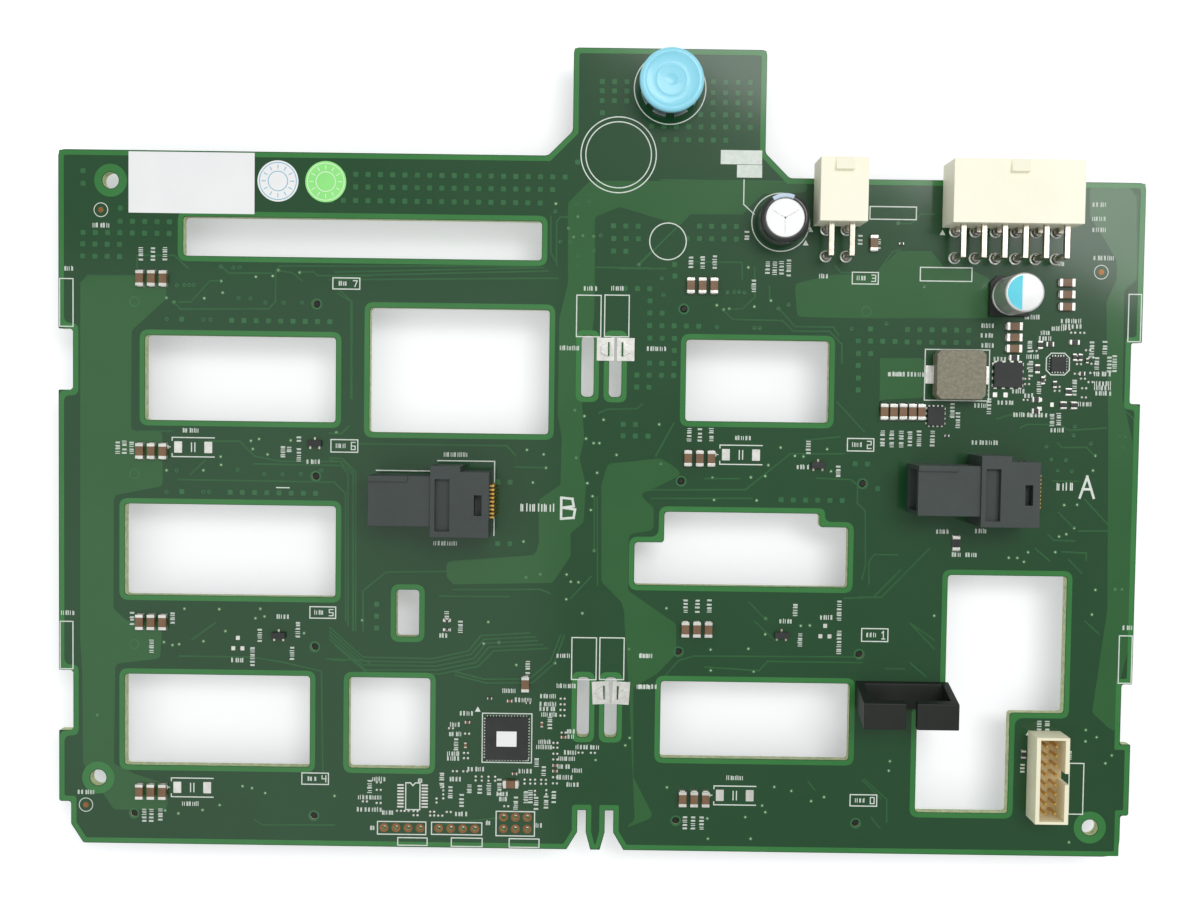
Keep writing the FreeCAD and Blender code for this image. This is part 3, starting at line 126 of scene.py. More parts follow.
class EffectLibrary:
    """Builds the node group of each effect once and hands it out."""

    def __init__(self) -> None:
        """Start with no groups built."""
        self.groups: dict[Effect, bpy.types.ShaderNodeTree] = {}
        self.makers: dict[Effect, Callable[[bpy.types.ShaderNodeTree], None]] = {
            Effect.MOTTLE: self.mottle,
            Effect.GRAIN: self.grain,
            Effect.WEAR: self.wear,
            Effect.WEAVE: self.weave,
        }

    def get(self, effect: Effect) -> bpy.types.ShaderNodeTree:
        """Return the group of an effect.

        Args:
            effect: the wanted effect.
        Returns:
            Its node group, built on first use.
        """
        if effect not in self.groups:
            tree = bpy.data.node_groups.new(effect.value, "ShaderNodeTree")
            self.makers[effect](tree)
            self.groups[effect] = tree
        return self.groups[effect]

    @staticmethod
    def sockets(tree: bpy.types.ShaderNodeTree, inputs: dict[str, str], outputs: dict[str, str]) -> tuple:
        """Give a group its named sockets.

        Args:
            tree: the group.
            inputs: socket type by input name.
            outputs: socket type by output name.
        Returns:
            The group's input node and output node.
        """
        for direction, names in (("INPUT", inputs), ("OUTPUT", outputs)):
            for name, kind in names.items():
                tree.interface.new_socket(name=name, in_out=direction, socket_type=f"NodeSocket{kind}")
        return tree.nodes.new("NodeGroupInput"), tree.nodes.new("NodeGroupOutput")

    @staticmethod
    def noise(tree: bpy.types.ShaderNodeTree, scale: bpy.types.NodeSocket | float,
              detail: float) -> bpy.types.Node:
        """Add noise that sits still on the object.

        Args:
            tree: the group.
            scale: features per metre, as a number or a socket.
            detail: octaves of detail.
        Returns:
            The noise node.
        """
        place = tree.nodes.new("ShaderNodeTexCoord")
        noise = tree.nodes.new("ShaderNodeTexNoise")
        noise.inputs["Detail"].default_value = detail
        tree.links.new(place.outputs["Object"], noise.inputs["Vector"])
        if isinstance(scale, (int, float)):
            noise.inputs["Scale"].default_value = scale
        else:
            tree.links.new(scale, noise.inputs["Scale"])
        return noise

    @staticmethod
    def spread(tree: bpy.types.ShaderNodeTree, source: bpy.types.NodeSocket, low: float,
               high: float) -> bpy.types.Node:
        """Stretch part of a value's range to 0 to 1.

        Args:
            tree: the group.
            source: the value.
            low: value that becomes 0.
            high: value that becomes 1.
        Returns:
            The map range node.
        """
        node = tree.nodes.new("ShaderNodeMapRange")
        node.inputs["From Min"].default_value = low
        node.inputs["From Max"].default_value = high
        tree.links.new(source, node.inputs["Value"])
        return node

    @staticmethod
    def maths(tree: bpy.types.ShaderNodeTree, operation: str, first: bpy.types.NodeSocket,
              second: bpy.types.NodeSocket | float) -> bpy.types.NodeSocket:
        """Combine two values.

        Args:
            tree: the group.
            operation: Blender's name of the sum.
            first: first value.
            second: second value, a number or a socket.
        Returns:
            The result's socket.
        """
        node = tree.nodes.new("ShaderNodeMath")
        node.operation = operation
        tree.links.new(first, node.inputs[0])
        if isinstance(second, (int, float)):
            node.inputs[1].default_value = second
        else:
            tree.links.new(second, node.inputs[1])
        return node.outputs[0]

    @staticmethod
    def blend(tree: bpy.types.ShaderNodeTree, mask: bpy.types.NodeSocket, first: bpy.types.NodeSocket,
              second: bpy.types.NodeSocket) -> bpy.types.NodeSocket:
        """Mix two colours by a mask.

        Args:
            tree: the group.
            mask: 0 keeps the first colour, 1 the second.
            first: first colour.
            second: second colour.
        Returns:
            The mixed colour's socket.
        """
        node = tree.nodes.new("ShaderNodeMix")
        node.data_type = "RGBA"
        tree.links.new(mask, node.inputs["Factor"])
        tree.links.new(first, node.inputs[6])
        tree.links.new(second, node.inputs[7])
        return node.outputs[2]

    def mottle(self, tree: bpy.types.ShaderNodeTree) -> None:
        """Colour that drifts between two tones, with a roughness that drifts too.

        Args:
            tree: the empty group.
        """
        start, end = self.sockets(
            tree,
            {"Colour": "Color", "Shade": "Color", "Scale": "Float", "Amount": "Float", "Roughness": "Float",
             "Roughness Spread": "Float"},
            {"Colour": "Color", "Roughness": "Float"})
        broad = self.noise(tree, start.outputs["Scale"], 4.0)
        mask = self.spread(tree, broad.outputs["Fac"], 0.36, 0.64)
        amount = self.maths(tree, "MULTIPLY", mask.outputs["Result"], start.outputs["Amount"])
        colour = self.blend(tree, amount, start.outputs["Colour"], start.outputs["Shade"])
        fine_scale = self.maths(tree, "MULTIPLY", start.outputs["Scale"], 3.7)
        fine = self.noise(tree, fine_scale, 3.0)
        centred = self.maths(tree, "SUBTRACT", fine.outputs["Fac"], 0.5)
        swing = self.maths(tree, "MULTIPLY", centred, start.outputs["Roughness Spread"])
        roughness = self.maths(tree, "ADD", swing, start.outputs["Roughness"])
        tree.links.new(colour, end.inputs["Colour"])
        tree.links.new(roughness, end.inputs["Roughness"])

    def grain(self, tree: bpy.types.ShaderNodeTree) -> None:
        """Fine relief of a moulded or plated surface.

        Args:
            tree: the empty group.
        """
        start, end = self.sockets(tree, {"Scale": "Float", "Depth": "Float"}, {"Normal": "Vector"})
        noise = self.noise(tree, start.outputs["Scale"], 2.0)
        bump = tree.nodes.new("ShaderNodeBump")
        tree.links.new(noise.outputs["Fac"], bump.inputs["Height"])
        tree.links.new(start.outputs["Depth"], bump.inputs["Distance"])
        tree.links.new(bump.outputs["Normal"], end.inputs["Normal"])

    def wear(self, tree: bpy.types.ShaderNodeTree) -> None:
        """Rubbed, lighter edges with a broken border.

        Args:
            tree: the empty group.
        """
        start, end = self.sockets(tree, {"Colour": "Color", "Worn": "Color", "Amount": "Float"},
                                  {"Colour": "Color"})
        shape = tree.nodes.new("ShaderNodeNewGeometry")
        edge = self.spread(tree, shape.outputs["Pointiness"], 0.51, 0.58)
        noise = self.noise(tree, 1500.0, 3.0)
        patchy = self.spread(tree, noise.outputs["Fac"], 0.4, 0.6)
        both = self.maths(tree, "MULTIPLY", edge.outputs["Result"], patchy.outputs["Result"])
        amount = self.maths(tree, "MULTIPLY", both, start.outputs["Amount"])
        tree.links.new(self.blend(tree, amount, start.outputs["Colour"], start.outputs["Worn"]),
                       end.inputs["Colour"])

    def weave(self, tree: bpy.types.ShaderNodeTree) -> None:
        """Faint woven glass that shows through a coat, as a height.

        Args:
            tree: the empty group.
        """
        start, end = self.sockets(tree, {"Pitch": "Float"}, {"Height": "Float"})
        waves = []
        for axis in ("X", "Y"):
            place = tree.nodes.new("ShaderNodeTexCoord")
            wave = tree.nodes.new("ShaderNodeTexWave")
            wave.bands_direction = axis
            wave.inputs["Distortion"].default_value = 0.6
            tree.links.new(place.outputs["Object"], wave.inputs["Vector"])
            tree.links.new(start.outputs["Pitch"], wave.inputs["Scale"])
            waves.append(wave.outputs["Fac"])
        tree.links.new(self.maths(tree, "MULTIPLY", waves[0], waves[1]), end.inputs["Height"])


EFFECTS = EffectLibrary()


@dataclass(frozen=True)
class Finish:
    """One finish of the object, with the numbers that set its look."""

    name: str
    colour: Colour
    shade: Colour
    roughness: float = 0.5
    roughness_spread: float = 0.15
    metallic: float = 0.0
    mottle_scale: float = 260.0
    mottle_amount: float = 0.5
    grain_scale: float = 2600.0
    grain_depth: float = 0.000012
    worn: Colour | None = None
    wear: float = 0.12
    weave_depth: float = 0.0
    coat: float = 0.0
    specular: float = 0.5

    def material(self) -> bpy.types.Material:
        """Build the material, or return it if it exists.

        Returns:
            The material of this finish.
        """
        if self.name in bpy.data.materials:
            return bpy.data.materials[self.name]
        material = bpy.data.materials.new(self.name)
        material.use_nodes = True
        tree = material.node_tree
        shader = tree.nodes["Principled BSDF"]
        self.fill(shader, {"Metallic": self.metallic, "Coat Weight": self.coat, "Coat Roughness": 0.1,
                           "Specular IOR Level": self.specular})
        mottle = self.place(tree, Effect.MOTTLE, {
            "Colour": linear(self.colour), "Shade": linear(self.shade), "Scale": self.mottle_scale,
            "Amount": self.mottle_amount, "Roughness": self.roughness,
            "Roughness Spread": self.roughness_spread})
        colour = mottle.outputs["Colour"]
        if self.worn is not None:
            wear = self.place(tree, Effect.WEAR, {"Worn": linear(self.worn), "Amount": self.wear})
            tree.links.new(colour, wear.inputs["Colour"])
            colour = wear.outputs["Colour"]
        tree.links.new(colour, shader.inputs["Base Color"])
        tree.links.new(mottle.outputs["Roughness"], shader.inputs["Roughness"])
        grain = self.place(tree, Effect.GRAIN, {"Scale": self.grain_scale, "Depth": self.grain_depth})
        normal = grain.outputs["Normal"]
        if self.weave_depth:
            weave = self.place(tree, Effect.WEAVE, {"Pitch": WEAVE_PITCH})
            bump = tree.nodes.new("ShaderNodeBump")
            bump.inputs["Distance"].default_value = self.weave_depth
            tree.links.new(weave.outputs["Height"], bump.inputs["Height"])
            tree.links.new(normal, bump.inputs["Normal"])
            normal = bump.outputs["Normal"]
        tree.links.new(normal, shader.inputs["Normal"])
        return material

    @staticmethod
    def fill(node: bpy.types.Node, values: dict[str, float | Sequence[float]]) -> None:
        """Set inputs of a node.

        Args:
            node: the node.
            values: each input's name and its value.
        """
        for name, value in values.items():
            node.inputs[name].default_value = value

    def place(self, tree: bpy.types.ShaderNodeTree, effect: Effect,
              values: dict[str, float | Sequence[float]]) -> bpy.types.Node:
        """Place an effect's group in a material.

        Args:
            tree: the material's nodes.
            effect: the wanted effect.
            values: each input's name and its value.
        Returns:
            The group node.
        """
        node = tree.nodes.new("ShaderNodeGroup")
        node.node_tree = EFFECTS.get(effect)
        self.fill(node, values)
        return node


MASK = Finish("solder_mask", (11, 67, 29), (20, 74, 36), roughness=0.36, mottle_scale=38.0,
              grain_depth=0.000005, weave_depth=0.000003, coat=0.5, specular=0.2)
MASK_COPPER = Finish("mask_over_copper", (28, 90, 38), (38, 98, 46), roughness=0.36, mottle_scale=45.0,
                     grain_depth=0.000006, coat=0.6, specular=0.2)
MASK_RIM = Finish("mask_over_rim", (42, 118, 52), (58, 130, 66), roughness=0.36, mottle_scale=60.0,
                  grain_depth=0.000006, coat=0.5, specular=0.2)
MASK_TRACE = Finish("mask_over_trace", (38, 96, 50), (30, 84, 42), roughness=0.36, mottle_scale=120.0,
                    coat=0.4, specular=0.2)
MASK_PAD = Finish("mask_over_pad", (38, 100, 54), (50, 112, 66), roughness=0.36, mottle_scale=200.0, coat=0.5,
                  specular=0.2)
VIA_SHINE = Finish("via_shine", (176, 200, 160), (150, 176, 136), metallic=0.3, mottle_scale=500.0)
LAMINATE_EDGE = Finish("laminate_edge", (206, 214, 172), (160, 178, 122), roughness=0.7, mottle_scale=900.0,
                       mottle_amount=0.8, grain_depth=0.00003)
INK = Finish("white_ink", (226, 234, 226), (196, 210, 198), roughness=0.6, mottle_scale=900.0)
TIN = Finish("tinned_pad", (226, 226, 220), (190, 190, 184), roughness=0.34, metallic=0.7, mottle_scale=700.0)
TIN_PIN = Finish("tinned_pin", (206, 200, 184), (150, 144, 130), roughness=0.3, metallic=1.0,
                 mottle_scale=600.0)
SOLDER = Finish("solder", (206, 206, 200), (160, 160, 156), roughness=0.25, metallic=1.0, mottle_scale=900.0)
BARE_COPPER = Finish("bare_copper", (150, 104, 66), (118, 84, 54), roughness=0.4, metallic=0.8,
                     mottle_scale=500.0)
GOLD = Finish("gold_plating", (226, 184, 98), (204, 160, 78), roughness=0.28, metallic=1.0,
              mottle_scale=800.0)
NICKEL = Finish("nickel_plating", (176, 178, 176), (140, 142, 140), roughness=0.3, metallic=1.0,
                mottle_scale=400.0)
STEEL = Finish("steel", (150, 150, 150), (120, 120, 122), roughness=0.35, metallic=1.0, mottle_scale=500.0)
SPRING_STEEL = Finish("spring_steel", (128, 126, 122), (98, 96, 94), roughness=0.28, metallic=1.0,
                      mottle_scale=900.0)
IVORY = Finish("ivory_nylon", (252, 250, 228), (246, 243, 216), roughness=0.45, mottle_scale=60.0,
               grain_depth=0.000006, worn=(254, 253, 242))
CREAM = Finish("cream_polymer", (246, 242, 212), (238, 232, 198), roughness=0.48, mottle_scale=200.0,
               grain_depth=0.000006, worn=(250, 248, 232))
# Painted shade: a darker copy of the cream polymer for the floor inside the signal header's recess
CREAM_PAINTED_SHADE = Finish("cream_polymer_painted_shade", (206, 186, 138), (190, 168, 120), roughness=0.55,
                   mottle_scale=200.0)
CHARCOAL = Finish("charcoal_polymer", (56, 64, 62), (62, 70, 68), roughness=0.46, mottle_scale=90.0,
                  mottle_amount=0.6, grain_depth=0.000005, worn=(72, 80, 78), specular=0.4)
BLACK_POLYMER = Finish("black_polymer", (21, 25, 21), (29, 33, 29), roughness=0.42, mottle_scale=90.0,
                       grain_depth=0.000005, worn=(36, 40, 36), specular=0.35)
KNOB_BLUE = Finish("sky_blue_polymer", (146, 224, 244), (134, 214, 238), roughness=0.32, mottle_scale=90.0,
                   grain_depth=0.000015, worn=(190, 238, 248), coat=0.3)
CAN_ALUMINIUM = Finish("can_aluminium", (214, 216, 218), (190, 194, 198), roughness=0.38, metallic=0.85,
                       mottle_scale=300.0)
CAN_TOP = Finish("can_top", (240, 242, 240), (226, 229, 230), roughness=0.42, metallic=0.2,
                 mottle_scale=300.0)
CAN_PRINT = Finish("blue_can_print", (88, 214, 232), (78, 200, 222), roughness=0.4, mottle_scale=300.0)
SLEEVE = Finish("black_sleeve", (20, 22, 22), (34, 36, 36), roughness=0.3, mottle_scale=200.0, coat=0.3)
PALE_BAND = Finish("pale_band", (196, 214, 232), (180, 200, 222), roughness=0.45, mottle_scale=300.0)
IRON_POWDER = Finish("pressed_iron_powder", (138, 134, 114), (112, 108, 94), roughness=0.55, metallic=0.2,
                     mottle_scale=1800.0, mottle_amount=0.7, grain_scale=5200.0, grain_depth=0.00004,
                     worn=(170, 168, 152))
EPOXY = Finish("moulding_compound", (38, 41, 40), (48, 51, 49), roughness=0.55, mottle_scale=300.0,
               grain_depth=0.000006, worn=(56, 58, 56), specular=0.4)
MARK = Finish("laser_mark", (128, 130, 126), (110, 112, 108), roughness=0.6)
CERAMIC = Finish("brown_ceramic", (126, 94, 64), (102, 76, 52), roughness=0.4, mottle_scale=700.0)
GREY_CERAMIC = Finish("grey_ceramic", (120, 114, 100), (98, 94, 84), roughness=0.4, mottle_scale=700.0)
RESISTOR = Finish("resistor_glaze", (28, 30, 32), (42, 44, 46), roughness=0.35, mottle_scale=700.0)
PAPER = Finish("label_paper", (243, 244, 244), (236, 238, 240), roughness=0.62, mottle_scale=120.0,
               grain_scale=5000.0, grain_depth=0.00001)
GREEN_PAPER = Finish("green_paper", (150, 238, 134), (140, 228, 126), roughness=0.6, mottle_scale=220.0)
PRINT_BLUE = Finish("dot_print", (96, 176, 204), (116, 190, 214), roughness=0.6, mottle_scale=500.0)
PRINT_LIGHT = Finish("dot_print_light", (232, 252, 224), (214, 244, 204), roughness=0.6, mottle_scale=500.0)


def rectangle(x: float, y: float, width: float, height: float) -> Loop:
    """Corners of an upright rectangle, anticlockwise.

    Args:
        x: centre along X.
        y: centre along Y.
        width: size along X.
        height: size along Y.
    Returns:
        Its four corners.
    """
    w, h = width / 2, height / 2
    return [(x - w, y - h), (x + w, y - h), (x + w, y + h), (x - w, y + h)]


def disc(x: float, y: float, radius: float, sides: int = 24) -> Loop:
    """Corners of a many-sided disc.

    Args:
        x: centre along X.
        y: centre along Y.
        radius: distance of each corner.
        sides: number of corners.
    Returns:
        The corners, anticlockwise.
    """
    turn = 2 * math.pi / sides
    return [(x + radius * math.cos(i * turn), y + radius * math.sin(i * turn)) for i in range(sides)]


def anticlockwise(loop: Loop) -> Loop:
    """Order a loop anticlockwise.

    Args:
        loop: the corners.
    Returns:
        The same corners, reversed where they ran clockwise.
    """
    area = sum(a[0] * b[1] - b[0] * a[1] for a, b in zip(loop, loop[1:] + loop[:1]))
    return loop if area > 0 else loop[::-1]


def grown(loop: Loop, distance: float) -> Loop:
    """Move each edge of a straight-sided loop outwards.

    Args:
        loop: the corners.
        distance: how far, inwards where negative.
    Returns:
        The corners of the moved edges.
    """
    loop = anticlockwise(loop)
    count = len(loop)
    moved = []
    for i in range(count):
        before, here, after = Vector(loop[i - 1]), Vector(loop[i]), Vector(loop[(i + 1) % count])
        first, second = (here - before).normalized(), (after - here).normalized()
        outward = Vector((first.y, -first.x)) + Vector((second.y, -second.x))
        scale = distance / max(0.25, 1.0 + first.dot(second))
        moved.append((here.x + outward.x * scale, here.y + outward.y * scale))
    return moved


def rounded(loop: Loop, radius: float | Sequence[float], steps: int = 6) -> Loop:
    """Round the corners of a loop.

    Args:
        loop: the corners.
        radius: one radius for all corners, or one for each.
        steps: straight steps in each rounded corner.
    Returns:
        The loop with arcs at its corners.
    """
    count = len(loop)
    radii = [radius] * count if isinstance(radius, (int, float)) else list(radius)
    result: Loop = []
    for i in range(count):
        before, here, after = Vector(loop[i - 1]), Vector(loop[i]), Vector(loop[(i + 1) % count])
        back, ahead = (before - here), (after - here)
        half = back.angle(ahead, math.pi) / 2
        if radii[i] <= 0 or half > 1.5:
            result.append((here.x, here.y))
            continue
        reach = min(radii[i] / math.tan(half), 0.49 * back.length, 0.49 * ahead.length)
        start, end = here + back.normalized() * reach, here + ahead.normalized() * reach
        for k in range(steps + 1):
            t = k / steps
            point = start.lerp(here, t).lerp(here.lerp(end, t), t)
            result.append((point.x, point.y))
    return result


def ribbon(points: Sequence[Point], width: float) -> list[Loop]:
    """Strips that follow a line of points.

    Args:
        points: the line.
        width: width of the strip.
    Returns:
        One long thin rectangle for each stretch of the line.
    """
    strips = []
    for (ax, ay), (bx, by) in zip(points, points[1:]):
        along = Vector((bx - ax, by - ay))
        if along.length < 1e-6:
            continue
        along.normalize()
        side = Vector((-along.y, along.x)) * width / 2
        end = along * width / 2
        strips.append([(ax - end.x - side.x, ay - end.y - side.y), (bx + end.x - side.x, by + end.y - side.y),
                       (bx + end.x + side.x, by + end.y + side.y),
                       (ax - end.x + side.x, ay - end.y + side.y)])
    return strips


def sheet_mesh(loops: Sequence[Loop], low: float, high: float) -> bpy.types.Mesh:
    """Closed slab with holes, filled between loops that lie inside each other.

    Args:
        loops: outlines and holes, in millimetres.
        low: height of its underside.
        high: height of its top.
    Returns:
        The mesh, in millimetres.
    """
    curve = bpy.data.curves.new("sheet", "CURVE")
    curve.dimensions = "2D"
    curve.fill_mode = "BOTH"
    curve.extrude = (high - low) / 2
    for loop in loops:
        spline = curve.splines.new("POLY")
        spline.points.add(len(loop) - 1)
        for point, (x, y) in zip(spline.points, loop):
            point.co = (x, y, 0.0, 1.0)
        spline.use_cyclic_u = True
    holder = bpy.data.objects.new("sheet", curve)
    bpy.context.scene.collection.objects.link(holder)
    mesh = bpy.data.meshes.new_from_object(holder.evaluated_get(bpy.context.evaluated_depsgraph_get()))
    bpy.data.objects.remove(holder)
    bpy.data.curves.remove(curve)
    mesh.transform(Matrix.Translation((0, 0, (high + low) / 2)))
    return mesh


class Shape:
    """A mesh that grows from closed solids, in millimetres, and becomes one piece of the scene."""

    def __init__(self) -> None:
        """Start with an empty mesh."""
        self.mesh = bmesh.new()

    def add(self, mesh: bpy.types.Mesh, slot: int = 0) -> None:
        """Add a mesh.

        Args:
            mesh: the mesh, in millimetres. It is used up.
            slot: number of the finish that its faces take.
        """
        start = len(self.mesh.faces)
        self.mesh.from_mesh(mesh)
        self.mesh.faces.ensure_lookup_table()
        for face in self.mesh.faces[start:]:
            face.material_index = slot
        bpy.data.meshes.remove(mesh)

    def sheet(self, loops: Sequence[Loop], low: float, high: float, slot: int = 0) -> None:
        """Add a slab with holes.

        Args:
            loops: outlines and holes.
            low: height of its underside.
            high: height of its top.
            slot: number of its finish.
        """
        self.add(sheet_mesh(loops, low, high), slot)

    def prism(self, loop: Loop, low: float, high: float, slot: int = 0, top: float = 1.0) -> None:
        """Add an upright prism, or a frustum where its top is smaller.

        Args:
            loop: its outline.
            low: height of its underside.
            high: height of its top.
            slot: number of its finish.
            top: size of the top against the foot.
        """
        loop = anticlockwise(loop)
        cx = sum(p[0] for p in loop) / len(loop)
        cy = sum(p[1] for p in loop) / len(loop)
        foot = [self.mesh.verts.new((x, y, low)) for x, y in loop]
        head = [self.mesh.verts.new((cx + (x - cx) * top, cy + (y - cy) * top, high)) for x, y in loop]
        faces = [self.mesh.faces.new(head), self.mesh.faces.new(foot[::-1])]
        for i in range(len(loop)):
            j = (i + 1) % len(loop)
            faces.append(self.mesh.faces.new((foot[i], foot[j], head[j], head[i])))
        for face in faces:
            face.material_index = slot

    def block(self, centre: tuple[float, float, float], size: tuple[float, float, float], slot: int = 0,
              ease: float = 0.0) -> None:
        """Add a block, its edges eased where asked.

        Args:
            centre: its centre.
            size: its size along each axis.
            slot: number of its finish.
            ease: size of the rounding of its edges.
        """
        work = bmesh.new()
        bmesh.ops.create_cube(work, size=1.0)
        bmesh.ops.scale(work, vec=size, verts=work.verts)
        if ease:
            bmesh.ops.bevel(work, geom=work.edges[:], offset=ease, segments=2, profile=0.6, affect="EDGES")
        bmesh.ops.translate(work, vec=centre, verts=work.verts)
        mesh = bpy.data.meshes.new("block")
        work.to_mesh(mesh)
        work.free()
        self.add(mesh, slot)

    def lathe(self, profile: Sequence[Point], centre: tuple[float, float, float], steps: int = 48,
              slot: int = 0, slots: Sequence[int] | None = None) -> None:
        """Add a turned solid.

        Args:
            profile: radius and height pairs, which start and end on the axis for a closed solid.
            centre: where its axis stands.
            steps: steps round the axis.
            slot: number of its finish.
            slots: number of the finish for each stretch of the profile, where they differ.
        """
        cx, cy, cz = centre
        rings: list[list[bmesh.types.BMVert]] = []
        for radius, height in profile:
            if radius < 1e-6:
                rings.append([self.mesh.verts.new((cx, cy, cz + height))])
                continue
            turn = 2 * math.pi / steps
            circle = [(radius * math.cos(k * turn), radius * math.sin(k * turn)) for k in range(steps)]
            rings.append([self.mesh.verts.new((cx + px, cy + py, cz + height)) for px, py in circle])
        for index, (a, b) in enumerate(zip(rings, rings[1:])):
            number = slots[index] if slots else slot
            for k in range(steps):
                j = (k + 1) % steps
                if len(a) == 1:
                    corners = (a[0], b[j], b[k])
                elif len(b) == 1:
                    corners = (a[k], a[j], b[0])
                else:
                    corners = (a[k], a[j], b[j], b[k])
                self.mesh.faces.new(corners).material_index = number

    def tube(self, path: Sequence[Vector], radius: float, sides: int = 8) -> None:
        """Add a round bar that follows a path.

        Args:
            path: the points of its centre line.
            radius: its radius.
            sides: sides of its section.
        """
        angles = [2 * math.pi * k / sides for k in range(sides)]
        section = [Vector((radius * math.cos(a), radius * math.sin(a), 0)) for a in angles]
        rings = []
        for i, point in enumerate(path):
            ahead = path[min(i + 1, len(path) - 1)] - path[max(i - 1, 0)]
            turn = ahead.to_track_quat("Z", "Y")
            rings.append([self.mesh.verts.new(point + turn @ place) for place in section])
        self.mesh.faces.new(rings[0][::-1])
        self.mesh.faces.new(rings[-1])
        for a, b in zip(rings, rings[1:]):
            for k in range(sides):
                j = (k + 1) % sides
                self.mesh.faces.new((a[k], a[j], b[j], b[k]))

    def ease(self, size: float, segments: int = 2, limit: float = 25.0) -> None:
        """Round all the sharp edges.

        Args:
            size: size of the rounding.
            segments: steps across it.
            limit: smallest angle, in degrees, of an edge that counts as sharp.
        """
        sharp = [edge for edge in self.mesh.edges
                 if len(edge.link_faces) == 2 and edge.calc_face_angle(0.0) > math.radians(limit)]
        bmesh.ops.bevel(self.mesh, geom=sharp, offset=size, offset_type="OFFSET", segments=segments,
                        profile=0.5, affect="EDGES", clamp_overlap=True)

    @staticmethod
    def settle_normals(mesh: bpy.types.Mesh, smooth: float) -> None:
        """Lean the shading of rounded edges on the large faces beside them, so that flat faces look flat.

        Args:
            mesh: the mesh.
            smooth: largest angle, in degrees, that is shaded smooth.
        """
        least = math.cos(math.radians(smooth))
        facing = [polygon.normal.copy() for polygon in mesh.polygons]
        areas = [polygon.area for polygon in mesh.polygons]
        around: list[list[int]] = [[] for _ in mesh.vertices]
        for polygon in mesh.polygons:
            for vertex in polygon.vertices:
                around[vertex].append(polygon.index)
        normals = [Vector((0.0, 0.0, 0.0)) for _ in mesh.loops]
        for polygon in mesh.polygons:
            own = facing[polygon.index]
            for corner, vertex in zip(polygon.loop_indices, polygon.vertices):
                total = Vector((0.0, 0.0, 0.0))
                for other in around[vertex]:
                    if facing[other].dot(own) > least:
                        total += facing[other] * areas[other]
                normals[corner] = total.normalized() if total.length else own
        mesh.normals_split_custom_set(normals)

    def piece(self, name: str, finishes: Sequence[Finish], body: str = BOARD_BODY,
              replaces: Sequence[str] = (),
              slot: str | None = None, smooth: float = 35.0) -> bpy.types.Object:
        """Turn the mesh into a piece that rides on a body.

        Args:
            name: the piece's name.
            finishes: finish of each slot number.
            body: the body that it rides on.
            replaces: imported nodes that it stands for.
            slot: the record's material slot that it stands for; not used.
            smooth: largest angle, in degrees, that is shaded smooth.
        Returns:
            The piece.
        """
        bmesh.ops.recalc_face_normals(self.mesh, faces=self.mesh.faces)
        mesh = bpy.data.meshes.new(name)
        self.mesh.to_mesh(mesh)
        self.mesh.free()
        mesh.transform(Matrix.Scale(MM, 4))
        mesh.shade_smooth()
        mesh.set_sharp_from_angle(angle=math.radians(smooth))
        self.settle_normals(mesh, smooth)
        for finish in finishes:
            mesh.materials.append(finish.material())
        piece = bpy.data.objects.new(name, mesh)
        bpy.context.scene.collection.objects.link(piece)
        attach(piece, body)
        if replaces:
            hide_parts(*replaces)
        LOG.info("%s: %d faces on %s", name, len(mesh.polygons), body)
        return piece


class FrameModel:
    """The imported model, with ways to dress its nodes or take them as the base of a finer piece."""

    def __init__(self, frame: dict) -> None:
        """Keep the frame.
        """
        self.nodes: dict[str, bpy.types.Object] = frame["nodes"]

    def dress(self, name: str, finish: Finish) -> None:
        """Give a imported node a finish.

        Args:
            name: the node.
            finish: its finish.
        """
        node = self.nodes[name]
        if not node.material_slots:
            node.data.materials.append(None)
        for material_slot in node.material_slots:
            material_slot.material = finish.material()
        LOG.info("%s: dressed as %s", name, finish.name)

    def copy_of(self, name: str) -> Shape:
        """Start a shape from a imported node, its flat faces joined.

        Args:
            name: the node.
        Returns:
            The shape, in millimetres.
        """
        shape = Shape()
        mesh = self.nodes[name].data.copy()
        mesh.transform(Matrix.Scale(1 / MM, 4))
        shape.add(mesh)
        bmesh.ops.remove_doubles(shape.mesh, verts=shape.mesh.verts, dist=0.0005)
        bmesh.ops.dissolve_limit(shape.mesh, angle_limit=math.radians(0.5), verts=shape.mesh.verts,
                                 edges=shape.mesh.edges)
        return shape

    def refine(self, name: str, finishes: Sequence[Finish], ease: float, slot: str,
               paint: Callable[[bmesh.types.BMFace], int] | None = None, segments: int = 2,
               body: str = BOARD_BODY) -> bpy.types.Object:
        """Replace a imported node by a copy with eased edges.

        Args:
            name: the node.
            finishes: finish of each slot number.
            ease: size of the rounding of its edges, in millimetres.
            slot: the record's material slot of the node.
            paint: picks the slot number of a face.
            segments: steps across each rounded edge.
            body: the body that it rides on.
        Returns:
            The new piece.
        """
        shape = self.copy_of(name)
        if paint:
            for face in shape.mesh.faces:
                face.material_index = paint(face)
        if ease:
            shape.ease(ease, segments)
        return shape.piece(f"{name}_shell", finishes, body, (name,), slot)


